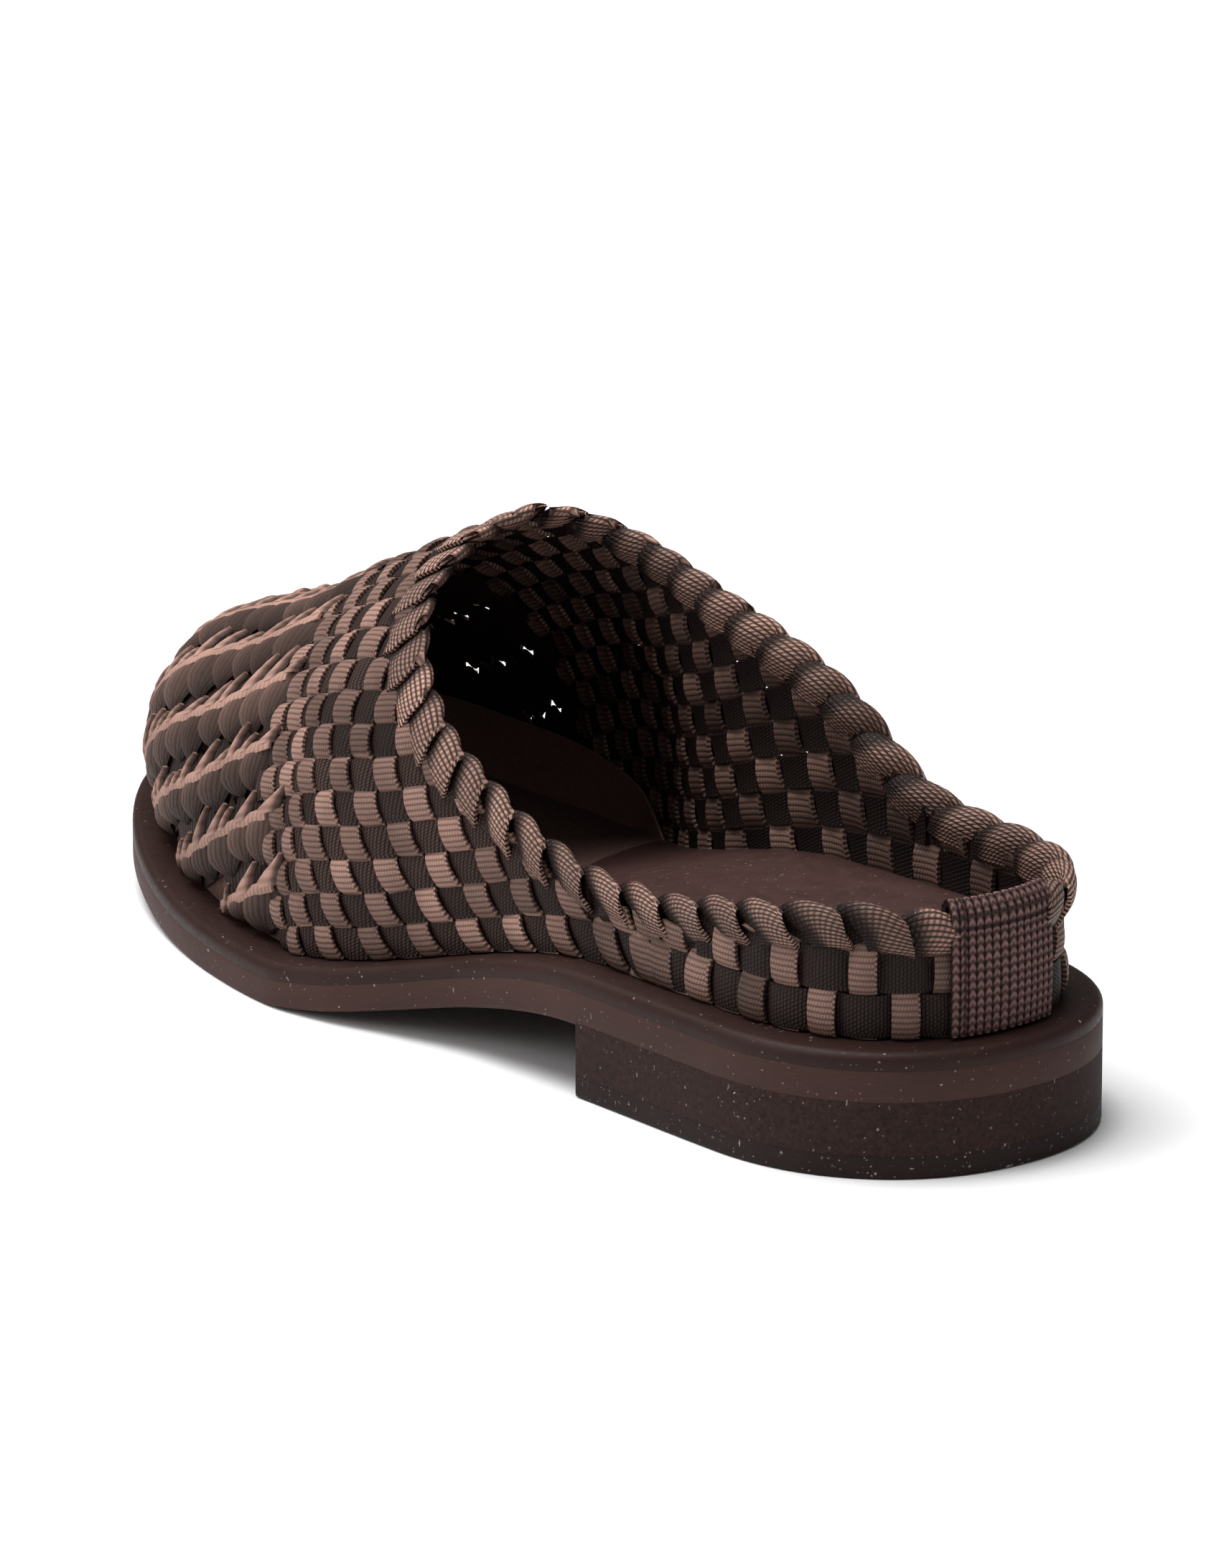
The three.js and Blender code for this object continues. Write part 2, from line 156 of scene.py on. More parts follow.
# Lean of the cross tapes: low down along the sides, and all over at the toe
SLANT = {-1: 22.0, 1: 10.0}
SLANT_FROM = 55
SLANT_LENGTH = 40
SLANT_GIRTH = 0.5
SLANT_POWER = 1.4
TOE_SLANT = 0.9
TOE_SLANT_FROM = 150

# Webbing patch at the heel: half width, and one link of its chain columns
TAB_HALF = 13
CHAIN_WIDE = 1.85
CHAIN_LONG = 1.55
CHAIN_SLANT = 0.9

# Height of the lining, painted shade of the tapes towards the heel and pitch of the cross tapes along the
# foot
LINING_TOP = [
    {"y": 141, "high": 8.0},
    {"y": 148, "high": 12.5},
    {"y": 156, "high": 17.5},
    {"y": 165, "high": 20.5},
    {"y": 186, "high": 23.0},
    {"y": 210, "high": 23.5},
    {"y": 235, "high": 18.0},
    {"y": 252, "high": 9.5},
]
PAINTED_HEEL_SHADE = [
    {"y": 0, "share": 0.74},
    {"y": 75, "share": 0.74},
    {"y": 120, "share": 0.92},
    {"y": 145, "share": 1.0},
]
CROSS_PITCH = [
    {"y": 0, "pitch": 7.5},
    {"y": 88, "pitch": 7.5},
    {"y": 120, "pitch": 6.4},
    {"y": 142, "pitch": 5.7},
    {"y": 168, "pitch": 5.1},
    {"y": 190, "pitch": 4.7},
]


def smooth(u):
    """Ease from 0 to 1."""
    t = np.clip(u, 0, 1)
    return t * t * (3 - 2 * t)


def running(steps):
    """Running total of steps, from nothing."""
    return np.concatenate([[0], np.cumsum(steps)])


def read(table, column, y):
    """Smooth reading of one column of a table, without overshoot."""
    at = np.array([row["y"] for row in table], float)
    value = np.array([row[column] for row in table], float)
    y = np.clip(y, at[0], at[-1])
    k = np.clip(np.searchsorted(at, y, side="right") - 1, 0, len(at) - 2)
    step = np.diff(at)
    slope = np.diff(value) / step
    lean = np.zeros(len(at))
    turn = slope[:-1] * slope[1:]
    both = np.where(turn > 0, slope[:-1] + slope[1:], 1)
    lean[1:-1] = np.where(turn > 0, 2 * turn / both, 0)
    t = (y - at[k]) / step[k]
    rise = smooth(t)
    bend = lean[k] * t * (1 - t) ** 2 - lean[k + 1] * t * t * (1 - t)
    return value[k] * (1 - rise) + value[k + 1] * rise + step[k] * bend


def glide(points, t):
    """Smooth curve through points of any size, read at t from 0 to 1 by knot."""
    points = np.asarray(points, float)
    last = len(points) - 1
    x = np.clip(np.asarray(t, float), 0, 1) * last
    k = np.clip(x.astype(int), 0, last - 1)
    u = (x - k)[..., None]
    a, b = points[np.maximum(k - 1, 0)], points[k]
    c, d = points[k + 1], points[np.minimum(k + 2, last)]
    return 0.5 * (2 * b + (c - a) * u + (2 * a - 5 * b + 4 * c - d) * u**2 + (3 * b - a - 3 * c + d) * u**3)


def centre(y):
    """Middle line of the sole, swung inwards at the toe."""
    return TOE_SWING * smooth((y - SWING_FROM) / (LENGTH - SWING_FROM))


def base(y):
    """Underside of the sole: heel, arch, flat tread and toe spring."""
    arch = HEEL_RISE * smooth((ARCH_END - y) / (ARCH_END - HEEL_BREAST))
    spring = TOE_SPRING * (np.maximum(y - FLAT_END, 0) / (LENGTH - FLAT_END)) ** 2
    return np.where(y < ARCH_END, arch, spring)


def seam(y):
    """Top of the outsole."""
    taper = smooth((y - HEEL_BREAST) / OUTSOLE_TAPER)
    return base(y) + OUTSOLE_HEEL + (OUTSOLE_TOE - OUTSOLE_HEEL) * taper


def welt(y):
    """Top of the welt layer."""
    return seam(y) + WELT


def feather(y):
    """Line where the upper meets the welt."""
    return welt(y) + CLEAR


def edge(side, share, grow):
    """Outline grown by `grow`, at shares from heel back (0) to toe tip (1), as x and y."""
    share = np.asarray(share, float)
    heel = np.pi / 2 * (1 - np.clip(share / HEEL_SHARE, 0, 1))
    toe = np.pi / 2 * np.clip((share - BALL_SHARE) / (1 - BALL_SHARE), 0, 1)
    front = LENGTH + grow - BALL
    middle = HEEL_ROUND + (BALL - HEEL_ROUND) * (share - HEEL_SHARE) / (BALL_SHARE - HEEL_SHARE)
    y_heel = HEEL_ROUND - (HEEL_ROUND + grow) * np.sin(heel) ** (2 / HEEL_POWER)
    y_toe = BALL + front * np.sin(toe) ** (2 / TOE_POWER[-1])
    y = np.where(share < HEEL_SHARE, y_heel, np.where(share < BALL_SHARE, middle, y_toe))
    left = np.clip(1 - np.clip((y - BALL) / front, 0, 1) ** TOE_POWER[side], 0, 1)
    half = np.where(
        share < HEEL_SHARE,
        (HALF_WIDTHS[0][side] + grow) * np.clip(np.cos(heel), 0, 1) ** (2 / HEEL_POWER),
        np.where(
            share < BALL_SHARE,
            read(HALF_WIDTHS, side, y) + grow,
            (HALF_WIDTHS[-1][side] + grow) * left ** (1 / TOE_POWER[side]),
        ),
    )
    half = np.where((share <= 0) | (share >= 1), 0, half)
    return centre(y) + side * half, y


def ridge(y):
    """Top line of the last, blunt at the toe."""
    tip = LENGTH - INSET
    u = np.clip((y - TOE_BOX_FROM) / (tip - TOE_BOX_FROM), 0, 1)
    blunt = (1 - u**TOE_BOX_POWER) ** (1 / TOE_BOX_POWER)
    return feather(y) + (read(RIDGE, "z", y) - feather(y)) * blunt


# The upper's face, sampled once per side: shares along the foot by shares of girth
FACE_LONG = 601
FACE_HIGH = 121
ARC_STEPS = 65
EDGE_STEPS = 1500


def unit(v):
    return v / np.maximum(np.linalg.norm(v, axis=-1, keepdims=True), 1e-9)


def sample_face(side):
    """Points and normals of one side: half sections of the last, stepped evenly along their girth."""
    share = np.linspace(0, 1, FACE_LONG)
    girth = np.linspace(0, 1, FACE_HIGH)
    x, y = edge(side, share, -INSET)
    crest = np.where(share < HEEL_SHARE, HEEL_ROUND, y)
    low = feather(y)
    wide = np.hypot(centre(crest) - x, crest - y)
    tall = ridge(crest) - low
    power = (2 / read(RIDGE, "power", crest))[:, None]
    turn = np.linspace(0, np.pi / 2, ARC_STEPS)[None, :]
    inward = 1 - np.clip(np.cos(turn), 0, 1) ** power
    upward = np.sin(turn) ** power
    run = np.hypot(np.diff(inward * wide[:, None], axis=1), np.diff(upward * tall[:, None], axis=1))
    run = np.concatenate([np.zeros((FACE_LONG, 1)), np.cumsum(run, axis=1)], axis=1)
    t = np.array([np.interp(girth * r[-1], r, i) for r, i in zip(run, inward)])
    up = np.array([np.interp(girth * r[-1], r, u) for r, u in zip(run, upward)]) * tall[:, None]
    out = unit(np.stack([side * np.gradient(y), -side * np.gradient(x)], axis=-1))
    fade = 1 - smooth((share - BULGE_FADE) / (1 - BULGE_FADE))
    bulge = BULGE_SCALE * (read(RIDGE, "bulge", crest) * fade)[:, None]
    swell = bulge * np.sin(np.pi * girth) * (1 - girth)
    point = np.stack([
        x[:, None] + (centre(crest) - x)[:, None] * t + out[:, :1] * swell,
        y[:, None] + (crest - y)[:, None] * t + out[:, 1:] * swell,
        low[:, None] + up,
    ], axis=-1)
    rise = np.gradient(point, axis=1)
    rise[:, -1] = (-side, 0, 0)
    normal = np.cross(np.gradient(point, axis=0), rise) * side
    normal[-1] = (0, 1, 0)
    normal[0, :, 0] = 0
    normal[: int(HEEL_SHARE * FACE_LONG), -1] = (0, 0, 1)
    return point, unit(normal)


FACE = {side: sample_face(side) for side in SIDES}


def on_face(side, share, girth, lift=0.0):
    """Point of the upper's face at a share of length and girth, lifted along its normal."""
    share, girth, lift = np.broadcast_arrays(share, girth, lift)
    x = np.clip(share, 0, 1) * (FACE_LONG - 1)
    y = np.clip(girth, 0, 1) * (FACE_HIGH - 1)
    i = np.clip(x.astype(int), 0, FACE_LONG - 2)
    j = np.clip(y.astype(int), 0, FACE_HIGH - 2)
    u, v = (x - i)[..., None], (y - j)[..., None]

    def mix(grid):
        low = grid[i, j] * (1 - u) + grid[i + 1, j] * u
        high = grid[i, j + 1] * (1 - u) + grid[i + 1, j + 1] * u
        return low * (1 - v) + high * v

    point, normal = FACE[side]
    n = unit(mix(normal))
    return mix(point) + n * lift[..., None], n


def round_face(turn, girth, lift=0.0):
    """As on_face, with outer-side shares negative and inner-side shares positive."""
    outer, n_outer = on_face(-1, np.abs(turn), girth, lift)
    inner, n_inner = on_face(1, np.abs(turn), girth, lift)
    pick = (np.asarray(turn) < 0)[..., None]
    return np.where(pick, outer, inner), np.where(pick, n_outer, n_inner)


def over_face(share, over, lift=0.0):
    """As on_face, with `over` from the outer sole edge (-1) over the ridge (0) to the inner edge (1)."""
    outer, n_outer = on_face(-1, share, 1 + np.minimum(over, 0), lift)
    inner, n_inner = on_face(1, share, 1 - np.maximum(over, 0), lift)
    pick = (np.asarray(over) < 0)[..., None]
    return np.where(pick, outer, inner), np.where(pick, n_outer, n_inner)


def share_at(y):
    """Share of the sole edge that lies at y, ahead of the heel round."""
    share = np.linspace(HEEL_SHARE, 1, EDGE_STEPS)
    return np.interp(y, edge(-1, share, -INSET)[1], share)


def place(points):
    """Shoe millimetres to the part's own frame in metres."""
    return (np.asarray(points) - MIDDLE) * MM


# Mesh helpers: every strip starts as a grid and is laid along a path
class Piece:
    """One object of many strips, with a map in millimetres and a tint for each strip."""

    def __init__(self, name):
        self.name = name
        self.bm = bmesh.new()
        self.map = self.bm.loops.layers.uv.new("tape")
        self.tint = self.bm.verts.layers.float.new("tint")

    def strip(self, long, wide, lay, thick=0.0, flip=False, inside=1.0):
        """lay(p, q) gives points, map and tint for p across (-1 to 1) and q along (0 to 1)."""
        made = bmesh.ops.create_grid(self.bm, x_segments=wide, y_segments=long, size=1)["verts"]
        flat = np.array([v.co[:2] for v in made])
        points, mapped, tint = lay(flat[:, 0], flat[:, 1] / 2 + 0.5)
        tint = np.broadcast_to(tint, len(made))
        spot = {}
        for v, p, m, t in zip(made, place(points), mapped, tint):
            v.co = p
            v[self.tint] = t
            spot[v] = m
        faces = list(dict.fromkeys(f for v in made for f in v.link_faces))
        for f in faces:
            for loop in f.loops:
                loop[self.map].uv = spot[loop.vert]
        if flip:
            bmesh.ops.reverse_faces(self.bm, faces=faces)
        for f in faces:
            f.normal_update()
        if thick:
            self.thicken(made, faces, thick * MM, inside)

    def thicken(self, made, faces, thick, inside):
        """Inner side of a strip, darkened by `inside` as painted shade inside the shoe; a corner thrown out
        by a sharp fold is drawn in.
        """
        outer = np.array([v.co for v in made])
        for v in bmesh.ops.solidify(self.bm, geom=faces, thickness=thick)["geom"]:
            if not isinstance(v, bmesh.types.BMVert):
                continue
            v[self.tint] *= inside
            away = np.linalg.norm(outer - np.array(v.co), axis=1)
            if away.min() > SHARP_FOLD * thick:
                near = Vector(outer[away.argmin()])
                v.co = near + (v.co - near).normalized() * thick

    def finish(self, material, node, sharp=40):
        """The strips as one object on the root body, in place of a solid of the part."""
        mesh = bpy.data.meshes.new(self.name)
        self.bm.to_mesh(mesh)
        self.bm.free()
        for polygon in mesh.polygons:
            polygon.use_smooth = True
        mesh.set_sharp_from_angle(angle=math.radians(sharp))
        piece = bpy.data.objects.new(self.name, mesh)
        bpy.context.scene.collection.objects.link(piece)
        mesh.materials.append(material)
        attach(piece, "root")
        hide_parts(node)
        return piece


# Collar line on the face of each side, from the heel back to the throat
COLLAR_STEPS = 700
COLLAR_NEAR = 0.9
COLLAR_BLUR = 25
NO_COLLAR = 2.0


def collar_path(side):
    """Shares and girths of the face's points nearest to the collar line, evened out."""
    line = glide(COLLAR[side], np.linspace(0, 1, COLLAR_STEPS))
    point = FACE[side][0]
    path = []
    for y, z in line:
        gap = np.hypot(point[..., 1] - y, point[..., 2] - z)
        i, j = np.unravel_index(np.argmin(gap), gap.shape)
        if gap[i, j] < COLLAR_NEAR:
            path.append((i / (FACE_LONG - 1), j / (FACE_HIGH - 1)))
    kernel = np.ones(COLLAR_BLUR) / COLLAR_BLUR
    padded = np.pad(np.array(path), ((COLLAR_BLUR // 2, COLLAR_BLUR // 2), (0, 0)), mode="edge")
    share, girth = (np.convolve(padded[:, c], kernel, "valid") for c in (0, 1))
    share[0] = 0
    return np.maximum.accumulate(share), girth


PATH = {side: collar_path(side) for side in SIDES}


def collar_girth(side, share):
    """Girth of the collar above each share; beyond the throat there is none."""
    s, g = PATH[side]
    return np.where(np.asarray(share) > s[-1], NO_COLLAR, np.interp(share, s, g))


# Tape numbering along the sole edge
FINE = np.linspace(0, 1, 3001)
FINE_X, FINE_Y = edge(-1, FINE, -INSET)
FINE_STEP = np.hypot(np.diff(FINE_X), np.diff(FINE_Y))
FINE_TAPE = running(FINE_STEP / read(CROSS_PITCH, "pitch", FINE_Y[1:])) - 0.5


def edge_y(share):
    """Place along the foot of a share of the sole edge."""
    return np.interp(share, FINE, FINE_Y)


def painted_heel_shade(share):
    """Painted shade of the tapes: darker towards the heel, which faces away from the light."""
    return read(PAINTED_HEEL_SHADE, "share", edge_y(share))


def tape_number(share):
    return np.interp(share, FINE, FINE_TAPE)


def tape_share(number):
    return np.interp(number, FINE_TAPE, FINE)


def slant(side, share, girth):
    """Lean of the cross tapes towards the heel, in shares of length: low down, and all over at the toe."""
    y = edge_y(share)
    low = np.clip((SLANT_GIRTH - girth) / SLANT_GIRTH, 0, 1) ** SLANT_POWER
    toe = smooth((y - TOE_SLANT_FROM) / SLANT_LENGTH)
    full = -SLANT[side] / EDGE_LENGTH * smooth((y - SLANT_FROM) / SLANT_LENGTH)
    return full * (low * (1 - toe) + TOE_SLANT * (1 - girth) * toe)


def upright(side, share, girth):
    """Share of the cross tape that leans through a point, found in a few rounds."""
    found = share
    for _ in range(8):
        found = share - slant(side, found, girth)
    return found


# Rows keep their distance from the ridge, so ahead of the ball the low ones run into the sole
GIRTHS = {side: np.linalg.norm(np.diff(FACE[side][0], axis=1), axis=2).sum(1) for side in SIDES}
WHOLE = 0.5


def girth_length(side, share):
    return np.interp(share, np.linspace(0, 1, FACE_LONG), GIRTHS[side])


def span(side, share):
    """Girth from sole to ridge as a share of the girth at the middle of the foot."""
    return girth_length(side, np.maximum(share, WHOLE)) / girth_length(side, WHOLE)


def fan(share):
    """Rows are wider at the heel, where fewer of them would fill the girth."""
    return (HEEL_ROWS + (ROWS - HEEL_ROWS) * smooth((edge_y(share) - FAN_FROM) / FAN_LENGTH)) / ROWS


def girth_row(side, share, girth):
    """Row that lies at a girth, counted from the sole; row_girth is its inverse."""
    return ROWS * fan(share) * (1 - (1 - girth) * span(side, share))


def row_girth(side, share, row):
    return 1 - (1 - row / ROWS / fan(share)) / span(side, share)


def across(share, far, lift=0.0):
    """As over_face, with `far` in millimetres from the ridge: outer side negative, inner positive."""
    length = np.where(far < 0, girth_length(-1, share), girth_length(1, share))
    return over_face(share, far / length, lift)


def wave(x):
    """Over (1) and under (-1) by turns, with flat tops."""
    c = np.cos(np.pi * x)
    return np.sign(c) * np.abs(c) ** WAVE_POWER


# Each float of a cross tape has a twist and a fading of its own
RANDOM = np.random.default_rng(7)
COUNT = int(tape_number(share_at(GATHER_FROM - TOE_LAP))) + 1
FLOATS = 2 * ROWS + 2
WOBBLE = RANDOM.normal(0, 1, (COUNT, FLOATS))
FADE = RANDOM.uniform(0, 1, (COUNT, FLOATS))


def cross_lift(row, k, p):
    """Height of cross tape k above the weave, at rows along it and p across it."""
    twist = np.interp(row, np.arange(FLOATS) - 0.5, WOBBLE[k]) * CROSS_TWIST
    return WEAVE_LEVEL + CROSS_RAISE + CROSS_WAVE * wave(row + k) - CROSS_BOW * p**2 + twist * p


# Tint of a float: a random tone, times the painted shade towards the heel
def cross_tint(row, k):
    number = np.clip(np.rint(row).astype(int) + 1, 0, FLOATS - 1)
    return painted_heel_shade(tape_share(k)) * (CROSS_TINT + CROSS_FADING * FADE[k][number])


def tape_top(side, share, half):
    """Girth at which a cross tape dives under the collar loops."""
    girth = np.linspace(0, 1, GIRTH_STEPS)
    s = share + slant(side, share, girth)
    roof = np.minimum(collar_girth(side, s - half), collar_girth(side, s + half)) - COLLAR_ROOM
    return float(girth[np.argmax(girth > roof)]) if (girth > roof).any() else RIDGE_STOP


def vamp_tape(piece, k, share, half):
    """Cross tape k over the vamp, from the outer sole edge to the inner one."""

    def lay(p, q):
        over = q * 2 - 1
        lean = np.where(over < 0, slant(-1, share, 1 + over), slant(1, share, 1 - over))
        s = share + lean + p * half
        row = ROWS - 0.5 + over * ROWS * np.where(over < 0, span(-1, s), span(1, s))
        mapped = np.stack([p * MAP_HALF, q * 2 * GIRTH_MAP], 1)
        return over_face(s, over, cross_lift(row, k, p))[0], mapped, cross_tint(row, k)

    piece.strip(VAMP_STEPS, CROSS_CELLS, lay, TAPE_THICK, True, CROSS_INSIDE_SHADE)


def side_tape(piece, k, share, half, side):
    """Cross tape k on one side, from the sole edge to the collar."""
    top = tape_top(side, share, half)

    def lay(p, q):
        girth = q * top
        s = share + slant(side, share, girth) + p * half
        row = girth_row(side, s, girth) - 0.5
        row = row if side < 0 else 2 * ROWS - 1 - row
        mapped = np.stack([p * MAP_HALF, girth * GIRTH_MAP], 1)
        return on_face(side, s, girth, cross_lift(row, k, p))[0], mapped, cross_tint(row, k)

    long = max(LEAST_STEPS, int(SIDE_STEPS * top))
    piece.strip(long, CROSS_CELLS, lay, TAPE_THICK, side < 0, CROSS_INSIDE_SHADE)


def cross_tapes(piece):
    """Tapes across the foot: over the vamp ahead of the throat, up to the collar behind it."""
    throat = min(PATH[-1][0][-1], PATH[1][0][-1]) + THROAT_LAP / EDGE_LENGTH
    for k in range(COUNT):
        share = tape_share(k)
        half = read(CROSS_PITCH, "pitch", edge_y(share)) * CROSS_WIDTH / 2 / EDGE_LENGTH
        if share > throat:
            vamp_tape(piece, k, share, half)
        else:
            for side in SIDES:
                side_tape(piece, k, share, half, side)


def length_tape(piece, side, j, first, last, tint):
    """Tape along row j of one side, between two shares of the foot."""
    row = j if side < 0 else 2 * ROWS - 1 - j

    def lay(p, q):
        s = first + (last - first) * q
        girth = row_girth(side, s, j + 0.5 + p * LENGTH_WIDTH / 2)
        girth = np.maximum(girth, SOLE_TUCK * (p + 1))
        k = tape_number(upright(side, s, girth))
        lift = WEAVE_LEVEL - LENGTH_SINK - LENGTH_WAVE * wave(row + k) - LENGTH_BOW * p**2
        mapped = np.stack([p * MAP_HALF, s * EDGE_LENGTH], 1)
        # The length tapes take the painted heel shade squared
        return on_face(side, s, girth, lift)[0], mapped, tint * painted_heel_shade(s) ** 2

    long = int((last - first) * EDGE_LENGTH / LENGTH_STEP) + 2
    piece.strip(long, LENGTH_CELLS, lay, TAPE_THICK, side > 0, LENGTH_INSIDE_SHADE)


def length_tapes(piece):
    """Tapes along the foot, wherever the collar leaves room for them."""
    front = float(share_at(GATHER_FROM + TOE_LAP))
    for side in SIDES:
        for j in range(ROWS):
            tint = RANDOM.uniform(*LENGTH_TINTS)
            end = front + slant(side, front, row_girth(side, front, j + 0.5))
            shares = np.linspace(0, end, ROW_STEPS)
            free = row_girth(side, shares, j + 1) < collar_girth(side, shares) - ROW_ROOM
            free &= row_girth(side, shares, j + 0.6) > 0
            cuts = np.flatnonzero(np.diff(np.concatenate([[0], free.astype(int), [0]])))
            for start, stop in zip(cuts[::2], cuts[1::2]):
                first, last = shares[start], shares[stop - 1]
                if (last - first) * EDGE_LENGTH >= SHORTEST_TAPE:
                    length_tape(piece, side, j, first, last, tint)


# Bands of the gathered toe: distances from the ridge, and where a band has room above the sole
BANDS = 6
BAND_PITCH = 14.3
BAND_FROM = {-1: 11.0, 1: 3.3}
BAND_END = 0.999
BAND_ROOM = 1.2
BAND_STEPS = 1200
BAND_LEAST = 60
FULL_ROOM = 7
LEAST_SCALE = 0.4
RIBBON_THICK = 0.6
RIBBON_LAP = 1.2
RIBBON_STEPS = 200
RIBBON_CELLS = 4

# See-through holes between bands: which bands, how many, their spacing and their size
HOLE_BANDS = (1, 2, 3, 4)
HOLES = 5
HOLE_FROM = 2
HOLE_SPACES = (3.5, 8.5)
HOLE_SIZE = 1.2

# Ribbons of a band: the ground, torn at the holes and tinted near black as painted shade between the
# leaves, and the fold on it, tinted pale as a painted highlight where the tapes turn up to the light;
# places in band pitches
PAINTED_SHADE_GROUND = {"offset": 0.0, "half": 0.53, "lift": -1.0, "bow": 0.1, "tint": 0.06, "torn": 0.17}
PAINTED_HIGHLIGHT_FOLD = {"offset": 0.02, "half": 0.085, "lift": 1.5, "bow": 0.3, "tint": 0.95, "torn": 0.0}

# Leaves of a band: pointed pleats above the painted-highlight fold and rounded lobes below it, y from root
# to tip
SPIKE = [
    {"y": 0.0, "wide": 1.0, "lift": 1.3},
    {"y": 0.3, "wide": 0.72, "lift": 1.6},
    {"y": 0.65, "wide": 0.36, "lift": 1.5},
    {"y": 1.0, "wide": 0.012, "lift": 1.0},
]
# Tint across a pleat: painted shade, darkest on its heelward edge
SPIKE_PAINTED_SHADE = ([-1, -0.7, -0.3, 0.5, 1], [0.03, 0.2, 1.0, 1.0, 0.85])
SPIKE_CREST = -0.3
SPIKE_TOEWARD = 0.35
SPIKE_HEELWARD = 2.0
# The lobe's tint column is painted shade, darkest at its tip, where it turns down under the next row
LOBE = [
    {"y": 0.0, "wide": 0.85, "lift": 1.0, "tint": 0.3},
    {"y": 0.15, "wide": 1.0, "lift": 1.2, "tint": 0.19},
    {"y": 0.45, "wide": 0.96, "lift": 1.1, "tint": 0.14},
    {"y": 0.75, "wide": 0.68, "lift": 0.6, "tint": 0.1},
    {"y": 0.92, "wide": 0.36, "lift": 0.0, "tint": 0.05},
    {"y": 1.0, "wide": 0.08, "lift": -0.6, "tint": 0.03},
]
LOBE_PAINTED_LIGHT = ([-1, -0.3, 0.3, 1], [0.25, 0.8, 1.0, 1.7])
LOBE_BOW = 0.5
LOBE_SHIFT = 0.15
LEAF_STEPS = (0.65, 1.35)
LEAF_LEANS = (0.4, 1.5)
LEAF_ROOT = 0.03
LEAF_TUCK = 0.8
LEAF_MAP_HALF = 2.0
LEAF_MAP_FROM = 0.7
SOLE_CLEAR = 0.1


def spike_form(p, q):
    """Lift and tint of a pointed pleat: steep on its heelward edge, which is tinted dark as painted shade.
    """
    toeward = np.maximum(p - SPIKE_CREST, 0)
    heelward = np.maximum(SPIKE_CREST - p, 0)
    fall = SPIKE_TOEWARD * toeward**2 + SPIKE_HEELWARD * heelward**2
    return read(SPIKE, "lift", q) - fall, np.interp(p, *SPIKE_PAINTED_SHADE)


def lobe_form(p, q):
    """Lift and tint of a rounded lobe: its toeward rim stands over the next lobe, with a painted highlight,
    and the lobe darkens towards its heelward side and tip as painted shade.
    """
    stand = p * np.sin(np.pi * np.clip(q + LOBE_SHIFT, 0, 1))
    lift = read(LOBE, "lift", q) + stand - LOBE_BOW * p**2
    return lift, read(LOBE, "tint", q) * np.interp(p, *LOBE_PAINTED_LIGHT)


# Pitch, skew and thickness in millimetres, reach in band pitches, ribs along and across the map
SPIKES = {
    "outline": SPIKE, "form": spike_form, "pitch": 7.4, "begin": 0.5, "stagger": 2.2,
    "reach": 0.36, "half": 0.47, "skew": -0.6, "back": 1.0, "sizes": (0.4, 1.35), "tints": (0.8, 1.1),
    "ribs": (3.5, 0.0), "cells": (4, 6), "thick": 0.35,
}
LOBES = {
    "outline": LOBE, "form": lobe_form, "pitch": 9.0, "begin": 1.0, "stagger": 3.0,
    "reach": -0.68, "half": 0.68, "skew": 1.6, "back": 0.0, "sizes": (0.8, 1.1), "tints": (0.6, 1.3),
    "ribs": (0.0, 4.5), "cells": (6, 3), "thick": 0.6,
}


